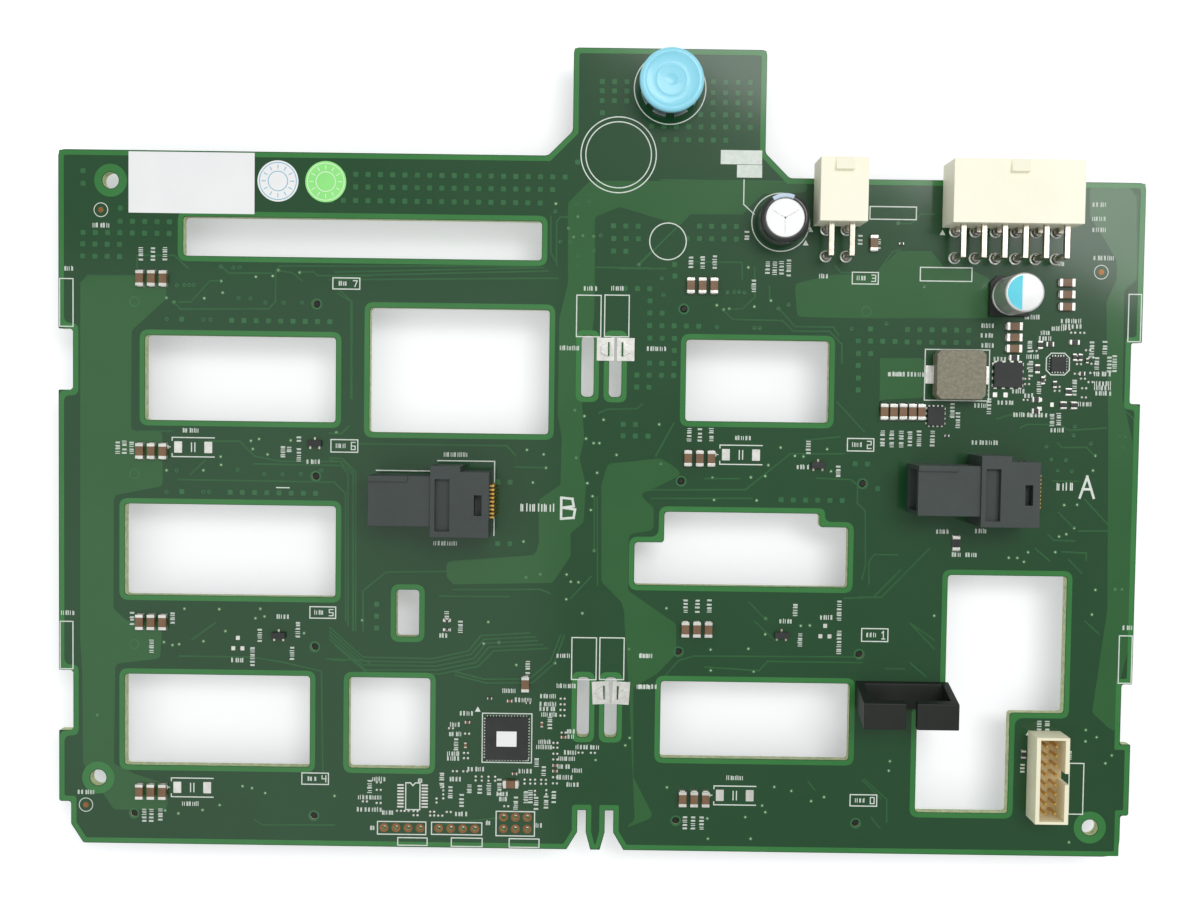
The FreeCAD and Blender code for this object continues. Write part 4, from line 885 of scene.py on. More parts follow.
@dataclass(frozen=True)
class BoardPlan:
    """Plan of the board: its edge, cut-outs, slots and holes."""

    width: float = 225.3
    depth: float = 167.4
    left_shoulder_drop: float = 22.2
    right_shoulder_drop: float = 26.2
    tab_x: float = 13.8
    tab_width: float = 39.9
    tab_foot: float = 5.1
    hook_rows: tuple[float, float] = (18.1, -53.4)
    hook_length: float = 12.7
    slot_x: float = 0.4
    slot_spacing: float = 5.8
    slot_width: float = 2.6
    notch_left: float = 3.0
    notch_right: float = 2.2
    foot_left: float = 2.5
    foot_right: float = 1.7
    foot_height: float = 8.8
    foot_chamfer: Point = (2.6, 4.0)
    guide_width: float = 1.8
    guide_height: float = 8.4
    guide_flare: float = 3.7
    guide_outer: float = 2.2
    guide_inner: float = 1.0
    corner: float = 0.8
    receptacle_x: float = -77.89
    receptacle_y: float = 30.23
    column_pitch: float = 114.2
    row_pitch: float = 35.84
    tooling_reach: float = 1.7
    peg_spacing: float = 37.9
    vents: tuple[tuple[float, float, float, float], ...] = (
        (-49.5, 43.9, 74.4, 8.05), (-74.75, 14.5, 39.7, 17.65), (-29.15, 16.7, 37.3, 25.85),
        (-76.75, -21.4, 44.1, 19.1), (-79.35, -57.3, 38.9, 19.25), (-39.5, -34.1, 4.8, 9.85),
        (-43.15, -57.35, 17.05, 19.15), (32.9, 15.45, 29.75, 16.95), (33.6, -55.8, 39.65, 16.2))
    tooling_holes: tuple[Point, ...] = ((-101.8, 55.2), (-104.4, -69.8), (104.6, -77.5))
    test_holes: tuple[Point, ...] = tuple((-44.14 + 2.54 * i, -79.6) for i in range(4)) \
        + tuple((-32.6 + 2.54 * i, -79.6) for i in range(4)) \
        + tuple((-18.95 + 2.51 * i, y) for i in range(3) for y in (-77.0, -79.5))

    def guide_notch(self, side: int) -> Loop:
        """Corners of one guide notch of the bottom edge, right to left.

        Args:
            side: 1 for the right notch and -1 for the left one.
        Returns:
            Its corners.
        """
        bottom = -self.depth / 2
        middle = self.slot_x + side * self.slot_spacing / 2
        right_flare, left_flare = (self.guide_outer, self.guide_inner)[::side]
        right, left = middle + self.guide_width / 2, middle - self.guide_width / 2
        return [(right + right_flare, bottom), (right, bottom + self.guide_flare),
                (right, bottom + self.guide_height), (left, bottom + self.guide_height),
                (left, bottom + self.guide_flare), (left - left_flare, bottom)]

    def edge(self) -> tuple[Loop, list[float]]:
        """Corners of the board's edge with the radius of each.

        Returns:
            The corners, clockwise from the upper left, and their radii.
        """
        left, right, top, bottom = -self.width / 2, self.width / 2, self.depth / 2, -self.depth / 2
        high_left, high_right = top - self.left_shoulder_drop, top - self.right_shoulder_drop
        tab_left, tab_right = self.tab_x - self.tab_width / 2, self.tab_x + self.tab_width / 2
        foot_left, foot_right = left + self.foot_left, right - self.foot_right
        foot_top = bottom + self.foot_height
        corners = [
            ((left, high_left), 1.5), ((tab_left - self.tab_foot, high_left), 1.5),
            ((tab_left, high_left + self.tab_foot), 1.5), ((tab_left, top), 1.2), ((tab_right, top), 1.2),
            ((tab_right, high_right + self.tab_foot), 1.5), ((tab_right + self.tab_foot, high_right), 1.5),
            ((right, high_right), 1.5)]
        half = self.hook_length / 2
        for y in self.hook_rows:
            inner = right - self.notch_right
            corners += [((right, y + half), 0.3), ((inner, y + half), 0.6), ((inner, y - half), 0.6),
                        ((right, y - half), 0.3)]
        corners += [((right, foot_top), 0.6), ((foot_right, foot_top), 0.6), ((foot_right, bottom), 3.6)]
        for side in (1, -1):
            corners += [(point, 0.2) for point in self.guide_notch(side)]
        corners += [((foot_left + self.foot_chamfer[0], bottom), 0.8),
                    ((foot_left, bottom + self.foot_chamfer[1]), 0.8),
                    ((foot_left, foot_top), 0.6), ((left, foot_top), 0.6)]
        for y in reversed(self.hook_rows):
            inner = left + self.notch_left
            corners += [((left, y - half), 0.3), ((inner, y - half), 0.6), ((inner, y + half), 0.6),
                        ((left, y + half), 0.3)]
        return [corner for corner, _ in corners], [radius for _, radius in corners]

    def openings(self) -> list[Loop]:
        """Straight-sided loops of the cut-outs.

        Returns:
            Each plain vent, the stepped vent and the tall cut-out.
        """
        loops = [rectangle(*vent) for vent in self.vents]
        loops.append([(7.85, -27.45), (52.45, -27.45), (52.45, -14.85), (46.4, -14.85), (46.4, -12.05),
                      (14.0, -12.05), (14.0, -18.5), (7.85, -18.5)])
        loops.append([(67.7, -74.7), (87.1, -74.7), (87.1, -53.3), (98.4, -53.3), (98.4, -24.5),
                      (73.5, -24.5), (73.5, -53.3), (67.7, -53.3)])
        return loops

    def hook_slots(self) -> list[Loop]:
        """Outlines of the hook slots.

        Returns:
            Four straight-sided loops.
        """
        return [rectangle(self.slot_x + side * self.slot_spacing / 2, y, self.slot_width, self.hook_length)
                for y in self.hook_rows for side in (-1, 1)]

    def bays(self) -> list[Point]:
        """Places of the drive receptacles.

        Returns:
            Their centres, row by row from the upper left.
        """
        return [(self.receptacle_x + column * self.column_pitch, self.receptacle_y - row * self.row_pitch)
                for row in range(4) for column in (0, 1)]

    def peg_holes(self) -> list[Point]:
        """Places of the holes for the receptacles' pegs.

        Returns:
            The centre of each hole.
        """
        return [(x + side * self.peg_spacing / 2, y) for x, y in self.bays() for side in (-1, 1)]

    def is_board(self, x: float, y: float, margin: float) -> bool:
        """Tell whether a spot lies on the board, away from its cut-outs.

        Args:
            x: place along X.
            y: place along Y.
            margin: distance to keep from each opening.
        Returns:
            True where print or copper may lie there.
        """
        for loop in self.openings() + self.hook_slots():
            if inside(grown(loop, margin), x, y):
                return False
        if any(math.hypot(x - hx, y - hy) < self.tooling_reach + margin for hx, hy in self.tooling_holes):
            return False
        return inside(grown(self.edge()[0], -margin), x, y)


def inside(loop: Loop, x: float, y: float) -> bool:
    """Tell whether a point lies inside a loop.

    Args:
        loop: the corners.
        x: place along X.
        y: place along Y.
    Returns:
        True where it does.
    """
    hit = False
    for (ax, ay), (bx, by) in zip(loop, loop[1:] + loop[:1]):
        if (ay > y) != (by > y) and x < (bx - ax) * (y - ay) / (by - ay) + ax:
            hit = not hit
    return hit


PLAN = BoardPlan()


# Squares of the stitched ground: first centre and count along +X
PAD_ROWS: tuple[tuple[float, float, int], ...] = (
    (-99.8, 49.5, 1), (-99.8, 46.8, 5), (-107.5, 44.4, 8), (-107.6, 42, 4), (-107.6, 39.5, 4),
    (-107.5, 57.1, 1), (-107.5, 54.5, 1), (-56.1, 57.1, 20), (-56.1, 54.5, 19), (-56.1, 51.7, 18),
    (2.5, 47.2, 3), (2.6, 44.6, 3), (2.6, 42, 2), (20.3, 47.4, 4), (17.8, 44.8, 5), (15.3, 39.4, 1),
    (15.4, 37, 1), (5.1, 34.3, 3), (10.3, 31.8, 1), (10.3, 29.3, 2), (10.3, 26.7, 5), (10.4, 24.1, 3),
    (15.5, 21.6, 1), (10.4, 18.9, 3), (7.8, 16.4, 4), (7.8, 13.9, 2), (56.2, 26.6, 1), (53.7, 24.1, 4),
    (53.8, 21.5, 2), (53.8, 19, 1), (53.9, 16.4, 1), (53.9, 13.9, 1), (63.9, 26.6, 6), (56.2, 24, 9),
    (-87, 26.7, 1), (-76.6, 26.6, 9), (-86.9, -9.2, 1), (-76.8, -9.2, 8), (38.3, -9.2, 6), (-46, -32.3, 1),
    (-46, -34.8, 1), (-46, -37.3, 1), (-0.2, 76.8, 3), (22.7, 77, 4), (-0.2, 74.9, 3), (22.7, 74.8, 4),
    (-0.2, 72.9, 3), (22.7, 72.8, 4), (-0.1, 70.4, 1), (20.2, 70.3, 5), (10.1, 67.8, 9), (12.7, 65.1, 6),
    (-5.1, 60.2, 1), (5.1, 6.1, 2), (5.1, 3.7, 2), (5.2, 3.7, 3), (-20.9, -6.3, 2), (-20.8, -19.2, 2),
    (53.6, -1.5, 2), (58.4, -6.6, 1),
)

# Copper areas that show through the mask
COPPER_AREAS: tuple[tuple[Point, ...], ...] = (
    ((-108.1, 33.7), (-106.5, 35.5), (-90.2, 35.7), (-90.2, 30.9), (-97.4, 24.2), (-97.5, 3.5), (-96, 3.3),
     (-91, 3.4), (-90.9, -8.1), (-101.1, -10.2), (-101.2, -34), (-98.4, -36.5), (-90.9, -36.8),
     (-91.4, -44.4), (-100.8, -45.6), (-101.1, -66.8), (-96.8, -68.9), (-89.8, -71), (-89.8, -76.4),
     (-101.1, -76.6), (-107.6, -66.8), (-107.8, -47.3), (-108.2, -40.3)),
    ((-7, 51.8), (-2.5, 56.4), (42.4, 56.9), (42.5, 54.6), (33.4, 54.2), (29.1, 50), (18.6, 49.9),
     (16.3, 47.5), (3.8, 51.1), (-1.4, 49), (-1.2, 35.3), (-1.3, 27.9), (-3.5, 10), (-3, 3), (-3.9, -1.2),
     (-2.5, -6.6), (-2.9, -14.6), (-5.6, -16.8), (-5.5, -21.6), (-9.2, -27.3), (-30.1, -27.9),
     (-31.4, -26.3), (-31.5, -23.1), (-13, -21.5), (-12.2, -19), (-12.3, -9.9), (-7.8, -6.7), (-7.7, 3.5),
     (-8.6, 7.8), (-8.5, 27.8), (-6.8, 35.2)),
    ((0.7, -6.5), (2, -2.2), (12.9, -0.9), (15.3, -2.2), (17.7, -4.1), (12.1, -7), (8.4, -8.4),
     (11.7, -11.2), (11.8, -15.9), (6.6, -16.9), (6.6, -28.7), (16.8, -35.6), (16.9, -41.9), (12.9, -46.2),
     (8, -49.1), (8.3, -68.1), (12.7, -76.6), (6.6, -79.1), (8.7, -77.2), (8, -65.2), (7.2, -51.1), (6, -36),
     (5.9, -33.3), (5.3, -31.2), (1, -26.9)),
    ((58.1, 38.9), (61.6, 42.6), (68.1, 42.7), (70.8, 39.7), (76.9, 39.1), (80.8, 37.2), (81, 29.2),
     (55.4, 28.8), (40.9, 28.9), (40.3, 35.8), (48.6, 37.8), (57.5, 37.9)),
    ((109.1, 57), (110.9, 54.6), (111.4, 37.6), (108.7, 35.2), (108.9, 13.1), (111.6, 2.9), (112.5, -36),
     (109.6, -48.2), (109.9, -58), (104.4, -53.1), (107, -31.2), (106.1, 7.7), (105, 32.8), (107, 37.6),
     (106.9, 41.4), (104.6, 45.2), (101.1, 50.4), (100.9, 56.6)),
    ((58.5, 20.6), (67.7, 20.7), (67.8, 12.5), (58.2, 11.9), (58.3, 5.6), (58.4, 13.3), (58.3, 20.5)),
)

# Traces, each a line of points
TRACES: tuple[tuple[Point, ...], ...] = (
    ((-79, 37.9), (-77.2, 36.4), (-68.4, 36.5)), ((-87.5, 30.3), (-85.1, 30.3), (-81.2, 34.7), (-79, 34.8)),
    ((-88.7, 30.3), (-87.2, 28.8), (-68.9, 29.1), (-67.5, 30.6), (-67.5, 37), (-66.8, 38), (-47.9, 38.2)),
    ((-66.8, 37), (-63.9, 36.6), (-62, 35)), ((-62.3, 36.8), (-59.6, 36.9), (-58.8, 36.1), (-47.9, 36.2)),
    ((-54.3, 33.2), (-51.6, 30.8), (-51.5, 10.7)), ((-108.1, 33.8), (-106.5, 35.5), (-96.6, 35.6)),
    ((-96.3, 36.1), (-96.3, 39.8), (-88.6, 39.9), (-85.7, 37.3)), ((-55.2, 36.9), (-11.8, 38.4)),
    ((-55.7, 36.1), (-11, 37.7)), ((-56.2, 38.1), (-13.7, 38.7)),
    ((-56.2, 35.3), (-10.8, 36.2), (-8.9, 36.2)), ((-54.6, 32.5), (-51.8, 30.8), (-51.7, 10.7)),
    ((-10.5, 49), (-10.4, 41.5), (-9.6, 39.9)), ((-6.9, 48.9), (-8.5, 48.9), (-9.3, 47.9), (-9.2, 38.9)),
    ((-1, 38.6), (10.2, 38.6)), ((7.8, 39.4), (10.2, 41.8)), ((-96, 3.3), (-89.1, 3.4)),
    ((-87.7, -6.7), (-55.1, -6.8), (-52.7, -9.1), (-52.5, -35.8)), ((-85.1, -5.6), (-82.1, -2.6)),
    ((-71.7, -3.2), (-53.5, -3.3), (-52.2, -5.1), (-52, -36.8)),
    ((-81.3, 1.4), (-74.9, 1.5), (-71.7, -1.6), (-66.3, -2.6), (-53, -2.5), (-51.1, -4.6), (-50.9, -37.9)),
    ((-52, 5), (-53.6, 3.4), (-56.2, 3.4)), ((-84.7, -40.3), (-79.9, -36.7)),
    ((-50.1, 1.3), (-19.1, 1.3), (-17.3, -0.6)), ((-17.2, -3.1), (-11.1, -3.2)),
    ((-56, -1.7), (-53.3, -1.9), (-50.6, -4.5), (-50.4, -37.9)),
    ((-56, -2.2), (-53.9, -2.5), (-51.2, -5.1), (-51, -37.9)),
    ((-31.5, -25.2), (-44.1, -25.5), (-48.9, -29.5), (-48.8, -37.9)), ((-32.8, -30.4), (-18.3, -30.3)),
    ((-30.1, -29), (-11.8, -28.7), (-9.7, -29.5)), ((-1.2, -25.9), (-5.4, -30.5)),
    ((9, 10.4), (8, 9.4), (1.8, 9.2), (0, 8.4)), ((-0.1, -9.2), (0.2, -27.5)), ((-0.7, -9.2), (-0.6, -20.5)),
    ((-55.8, -37.4), (-48.8, -43.5), (-34.2, -43.6), (-26.7, -41.9), (-24.1, -38.6), (-13.9, -37.9)),
    ((-55.8, -38.2), (-48.8, -44.3), (-34.2, -44.4), (-26.2, -42.6), (-23.5, -39.4), (-12.8, -38.7)),
    ((-55.8, -39), (-48.8, -45.1), (-33.7, -45.2), (-25.6, -43.5), (-23, -40.2), (-12.3, -39.5)),
    ((-55.8, -39.8), (-48.2, -46.2), (-33.1, -46), (-25.1, -44.3), (-22.4, -41), (-11.2, -40.3)),
    ((-54.7, -41.1), (-47.7, -47), (-32.6, -46.8), (-24.6, -45.1), (-21.4, -41.8), (-10.1, -41.1)),
    ((-29.9, -46.2), (-23.4, -47.8), (-13.8, -47.6), (-9.5, -43.8), (-7.4, -38.3)),
    ((-29.4, -47), (-22.9, -48.6), (-13.2, -48.4), (-8.7, -44.3), (-6.6, -38.3)),
    ((-55.7, -44.1), (-52.5, -44.3)), ((-18.8, -77), (-32.9, -78.9)),
    ((-87.4, -43.8), (-72.1, -43.8), (-65.6, -44.8), (-57.5, -46.6), (-57.1, -67.8)),
    ((-56.5, -43.9), (-48.4, -44.2), (-47.3, -44.8)), ((-71.4, -78.3), (-69.8, -79.4), (-54.6, -79.2)),
    ((13.5, 38.5), (4, 38.4)), ((7.9, 39.2), (18.4, 49.9), (29.1, 50), (32.8, 54)),
    ((12.1, 56.8), (43.1, 56.8)),
    ((25.5, 30.1), (27.6, 28.2), (37.9, 28.1), (40.2, 25.9), (47.7, 26), (50.3, 23.4), (50.4, 19.5)),
    ((37, 30.7), (40.5, 26.9), (48.4, 26.9), (49.6, 25.3)),
    ((26.9, 30.3), (29.5, 30.4), (32.1, 32.9), (31.9, 39)), ((19.1, 40), (29.3, 40), (29.4, 36.6)),
    ((35.1, 32.3), (35.1, 35.1)), ((48.6, 39.6), (49.8, 38.2), (57.4, 38.3), (60.4, 42.6), (62, 43.1)),
    ((57.9, 38.9), (61.6, 42.6), (68.4, 42.7), (70.6, 40)),
    ((61.3, 48.5), (64.2, 48.5), (66.3, 50.5), (68.9, 50.5)),
    ((109.1, 56.8), (110.9, 54.6), (111.4, 37.6), (108.7, 35.2)), ((55.6, 56.8), (69.2, 56.7)),
    ((49.6, 11.3), (55.3, 5.3)), ((11.2, -9.3), (32.2, -9)),
    ((9.3, -7.7), (11.2, -7.5), (30.8, -7.2), (40, 0.4), (51.2, 0.6)), ((29.4, -4.9), (22.4, -5)),
    ((45.7, -4.6), (52.8, -4.8), (54.2, -5.9), (54.2, -9.7), (55.9, -11.3), (56.2, -22.8), (55.5, -25.6)),
    ((62.9, -20.4), (58, -20.4), (56.9, -21.9), (57, -26.6)), ((43.2, 3.3), (50.2, 4.1)),
    ((12, -0.4), (15.6, 6.4)), ((63.5, -23.6), (58, -29.4), (51.9, -29.7)), ((31.9, -30.7), (35.8, -34.6)),
    ((108.7, 11.1), (111.4, 8.7), (111.9, -8.7)), ((82.9, 8.3), (85.3, 9.1), (93, 9.2)),
    ((95.6, 3.5), (96.6, 2.5), (101.7, 2.6), (103.4, 0.9)), ((101.7, -8.3), (107, -13.9)),
    ((96.2, -11.1), (99.5, -14.2)), ((100.5, -14.9), (107, -14.8)),
    ((94.2, -15.7), (95.4, -16.9), (99.8, -17)), ((91.6, -18.7), (94.6, -21.2)),
    ((98.7, -21), (101.4, -23.7)), ((97.2, -19.3), (102.3, -19.5), (102.3, -21)),
    ((55.2, -29.4), (59.6, -29.4), (69.5, -19)), ((65.8, -34.7), (70.9, -38.2)),
    ((94.9, -4.5), (100.2, -4.5)), ((87.8, 6.5), (89.2, 7.2), (96, 7.3), (98, 6.1), (105.7, 6.7)),
    ((65.8, -34.8), (71, -40.1)), ((66, -43.1), (69.4, -46)), ((60.9, -44.4), (64.8, -44.4)),
    ((56.5, -68.1), (60.5, -72)), ((102.4, -33.8), (105.4, -36.5)),
    ((14.8, -46.4), (17.4, -43.3), (20.6, -42.3), (54.5, -42)),
    ((23, -44.6), (34.3, -45.2), (36.1, -43.2), (55.9, -43.2)), ((33.2, -34.8), (37.5, -38.7)),
    ((56.9, -67.9), (61.7, -72.1), (61.8, -76.9)), ((45.1, -68.5), (46.5, -70.4)),
    ((58.5, -76), (60.4, -78.3)),
)

# Plated holes that shine
BRIGHT_VIAS: tuple[Point, ...] = (
    (-66.9, 37.1), (-62.5, 36.7), (-71.6, 35.7), (-68.1, 35.9), (-78.8, 34.7), (-78.5, 32.3), (-82.3, 31.1),
    (-90.2, 31.1), (-88.6, 30.2), (-9.5, 51.6), (-6.8, 46.6), (-5.7, 44.8), (-3.8, 45.1), (-1.6, 45),
    (-4.9, 49), (7.9, 39.3), (-72.5, 1.6), (-70.8, 2), (-72.1, -0.1), (-69, -1.2), (-54.7, 3.6),
    (-64.2, 1.8), (-78.8, -1.8), (-78.7, -3.5), (-90.1, -4.8), (-82.4, -4.7), (-86.3, -33.8), (-79, -33.8),
    (-70.4, -33.6), (-71.4, -35.6), (-69.5, -35.2), (-77.7, -38.4), (-61.2, -38.6), (-5, 8.9), (-3, 7.7),
    (1, 7), (-2.6, 3), (-1, 2.1), (0.2, 2.1), (-14.9, 0.5), (-11.4, -0.4), (-4.6, -1), (-0.2, -4.1),
    (3.8, -0.3), (-10.9, -3.2), (-13.6, -6.3), (-2.2, -6.3), (-1.1, -9), (-1.4, -11.9), (-15.4, -18.7),
    (-0.6, -20.4), (-14.8, -26.2), (-11.8, -25.5), (-6.3, -25.5), (-5.4, -27), (-3.8, -27.1), (-6.3, -30.7),
    (-2.9, -33.6), (-22.6, -35.7), (-49, -35.7), (-23.5, -40.3), (-20.3, -40), (-16.6, -44.7), (-8.5, -44.2),
    (7, -41), (7.4, -59.8), (6.5, -61.4), (0.3, -64.6), (-54.6, -73), (-104.6, -56.5), (-74, -71.2),
    (-72, -71.6), (-69.2, -72.6), (-78.8, -75.3), (-82.4, -76.4), (-87.5, -77.2), (-90.3, -76.6),
    (-90.6, -40.9), (-88.8, -41.5), (-87.4, -41.3), (-82.3, -40.6), (24.2, 31.1), (25.6, 30.2), (26.8, 30.4),
    (32, 30.9), (35.4, 32.2), (61.5, 48.5), (30.6, 39), (67.2, 35.5), (12.6, 6.2), (13.1, -2), (38, 1.7),
    (41, 0), (42.8, -0.1), (23.9, -4.8), (31.9, -4.6), (34.9, -4.3), (35.5, -2), (24.3, -9.4), (33.2, -9.4),
    (14.7, -32.3), (35.5, -34.2), (35.5, -37.5), (42.9, -35.6), (44.8, -35.5), (47.7, 1.5), (48.6, -3.1),
    (103.6, 0.9), (103.2, -2.2), (97.4, -9.5), (100.1, -9.4), (99.6, -14.3), (96.5, -16.1), (98, -15.6),
    (90.1, -19.5), (86.1, -20.7), (87.9, -20.7), (89.3, -21.5), (95.8, -19.4), (104.4, -27.2),
    (103.8, -32.4), (108.5, -27), (109.9, -27), (70.8, -33.1), (15.4, -70.2), (24.1, -40.9), (32, -40.6),
    (24.2, -45.3), (33.2, -45.4), (38, -69.8), (41.6, -70.6), (45.8, -72.7), (48.5, -71.8), (35.5, -73.8),
    (36.2, -75.2), (32, -76.3), (24.2, -81), (33.2, -80.9), (24, -76.7), (62.2, -64), (62, -66),
    (103.2, -56.8), (105.5, -58.3), (103.2, -59.2), (108.8, -62.1), (107.5, -63.8), (100.3, -80.7),
)

# Plated holes under the mask
COVERED_VIAS: tuple[Point, ...] = (
    (-78.9, 37.7), (-76.3, 37.5), (-75, 37.6), (-88, 33.7), (-86.5, 33.8), (-85.5, 33.8), (-84.5, 33.8),
    (-75.2, 31.2), (-72.7, 31.2), (-69.6, 30.4), (-65.8, 30.4), (-62, 30.5), (-90.1, 26.7), (-82.5, 26.7),
    (-81, 26.7), (-9.6, 50), (-0.1, 45.2), (-5.1, 51.6), (-2.6, 52.2), (-6.4, 43.7), (-8.5, 43.8),
    (-4.8, 41), (-4.7, 38.7), (-1.5, 42.1), (-69.7, -5.3), (-65.9, -5.3), (-62.1, -5.2), (-75.3, -4.5),
    (-57.8, -4.4), (-90.1, -9.3), (-82.4, -9.2), (-81.2, -9.2), (-88, -4.8), (12.7, 36.5), (26.4, 33.8),
    (27.8, 33.9), (28.8, 33.9), (29.9, 33.8), (37, 30.6), (39.1, 31.4), (24.3, 26.6), (32.1, 26.5),
    (33.2, 26.5), (52.3, 26.6), (59.5, 27.8), (13.1, 33.1), (108.6, 5.1), (109.7, 5.1), (109.3, 2.8),
    (99.2, 6.9), (99, 5.1), (102.6, 3.4), (94.5, 0), (97.5, -0.1), (93.4, 2.7), (98.8, -2.4), (95.8, -2.3),
)

# Rows of short printed ticks: centre and number of ticks, along X and then along Y
LYING_TICKS: tuple[tuple[float, float, int], ...] = (
    (-103.8, 45.9, 5), (-110.6, 36.9, 3), (-85.2, 3.6, 5), (-59.5, -2.6, 4), (-110.8, -35, 4),
    (-65.8, -35.2, 4), (-75.1, -44.5, 4), (-107, -72.9, 5), (-85, -75.1, 5), (-32, -38.7, 3),
    (-18.1, -50.2, 4), (-15.1, -52.1, 5), (-10, -51.2, 5), (-9.9, -52.9, 5), (-9.9, -53.9, 5),
    (-9.5, -55.1, 5), (-27, -55.1, 4), (-29.4, -57.5, 3), (-29.4, -59.5, 4), (-29.6, -63.7, 4),
    (-29.6, -64.7, 4), (-24.9, -66.9, 5), (-29.2, -69.1, 4), (-14.5, -67.2, 4), (-10.4, -60.9, 4),
    (-10.5, -62, 5), (-5.2, -63.1, 4), (-5.8, -64.4, 5), (-6.3, -66.1, 4), (-6.3, -68.4, 5),
    (-3.6, -66.9, 3), (-4.6, -69.9, 4), (-5, -58.6, 3), (-5, -59.7, 2), (-1.5, -61.9, 7), (-19.3, -72.1, 4),
    (-19.1, -73.2, 3), (-6.8, -42.6, 4), (-6, -49, 6), (10.1, -42.4, 3), (10.2, -49, 4), (-45.3, -69.3, 4),
    (-47.2, -73.2, 7), (-48.5, -75.8, 4), (-45.7, -75.8, 3), (-43.4, -76.4, 4), (-28, -76.5, 4),
    (-36.6, -69.5, 2), (-46.6, -79.7, 2), (-22.2, -78.3, 2), (-11.5, -78.7, 2), (-29.8, -0.7, 7),
    (-31.8, -19.3, 7), (-2.1, 34.2, 4), (3.6, 34.3, 4), (-6.2, 21.8, 6), (11.7, 21.9, 6), (46.3, 37.4, 3),
    (61.4, 17.3, 4), (103, 52.9, 4), (103, 50, 4), (103.1, 47.7, 4), (80.4, 27.6, 4), (80.5, 25.6, 4),
    (80.5, 23.5, 4), (89.7, 29.5, 5), (97.8, 28.8, 6), (97.9, 27.7, 6), (95, 27.2, 4), (92.6, 26.3, 3),
    (92.4, 25.1, 4), (83.1, 20.7, 4), (90.1, 21.3, 4), (104.6, 17.9, 5), (104.7, 15.9, 5), (104.7, 15, 5),
    (104.8, 13.9, 5), (87.1, 14.1, 4), (89.3, 13.2, 3), (62, 17.3, 5), (65.8, 17.3, 5), (95.6, 40.6, 2),
    (104.2, 41.9, 6), (30, 3.6, 5), (42.6, -2.3, 4), (39.8, -34.7, 4), (48.1, -33.8, 4), (79.5, 11, 4),
    (84.7, 11.7, 5), (88.2, 9.2, 6), (91.6, 9.2, 5), (101.1, 11.6, 4), (80.6, 3.3, 8), (72.2, -15.4, 4),
    (80.1, -15.2, 4), (75, -20.2, 3), (78.2, -20.2, 4), (95.5, 6.1, 4), (111.3, -35.1, 3), (10.5, -42.4, 4),
    (10.8, -48.9, 6), (29.6, -68, 5),
)
UPRIGHT_TICKS: tuple[tuple[float, float, int], ...] = (
    (-95.5, 40.1, 4), (-93, 40.1, 4), (-90.5, 40.2, 4), (-100.3, -0.1, 4), (-98.9, -0.1, 4),
    (-97.4, -0.1, 4), (-65.8, -0.6, 4), (-62.5, -1.2, 4), (-62.5, 2.2, 2), (-64.5, -0.2, 2), (-97.3, -36, 4),
    (-88.8, -35.8, 4), (-62.5, -37.8, 5), (-70.5, -39.2, 4), (-93.2, -41.8, 4), (-72, -43.6, 6),
    (-63.7, -42.9, 4), (-94.7, -77.7, 4), (-93.2, -77.7, 4), (-91.3, -77.6, 4), (-28.4, -36.7, 4),
    (-14.2, -45.2, 4), (-9.4, -57, 4), (-29.1, -61.8, 4), (-26.2, -71.2, 3), (-24, -71.1, 3),
    (-22.1, -71.2, 4), (-19.9, -70.6, 5), (-10.6, -67.1, 3), (-12.1, -65.2, 3), (-8.4, -72.5, 4),
    (-10, -73.7, 4), (-12.1, -74, 4), (-14.3, -72.6, 4), (-13.3, -72.6, 4), (-16.4, -74, 4),
    (-47.2, -70.9, 4), (-32, -69.3, 5), (-30.2, -72, 4), (-27.8, -73.6, 4), (-31.3, -34.6, 3),
    (18.7, 39.9, 4), (21.1, 40, 4), (23.6, 40, 4), (30.2, 45.5, 3), (34.6, 38.9, 4), (36.1, 38.9, 4),
    (37.5, 39, 4), (39, 39, 5), (31.8, 35.3, 4), (53.7, 45, 3), (57.5, 44.2, 3), (89.4, 23.4, 4),
    (102.3, 23.1, 5), (105, 23.4, 4), (106, 20, 5), (107.1, 20.1, 5), (103.4, 20.2, 4), (91.5, 15, 4),
    (89.7, 18.9, 5), (98.9, 15.1, 5), (18.9, 4.1, 4), (21.1, 4.1, 4), (23.5, 4.2, 4), (43.8, 1.8, 4),
    (50.1, -3.1, 4), (18.7, -31.8, 4), (21.2, -31.8, 4), (23.7, -31.7, 4), (41.7, -32.2, 4),
    (50.9, -32.3, 6), (59.2, 3.8, 5), (61.1, 3.8, 5), (63.1, 3.8, 5), (64.9, 3.9, 5), (66.8, 3.9, 5),
    (69.6, 3.9, 5), (81.2, 11, 5), (73.6, 9.9, 5), (74.8, 8, 5), (94.4, 8.3, 4), (95.8, 8.3, 4),
    (19.3, -77.7, 4), (21, -77.7, 4), (22.8, -77.7, 4), (42.8, -38.6, 4), (51, -39, 7), (93.4, -56, 3),
    (95.1, -56, 3), (90.1, -65.2, 3), (99.9, -62.1, 3),
)

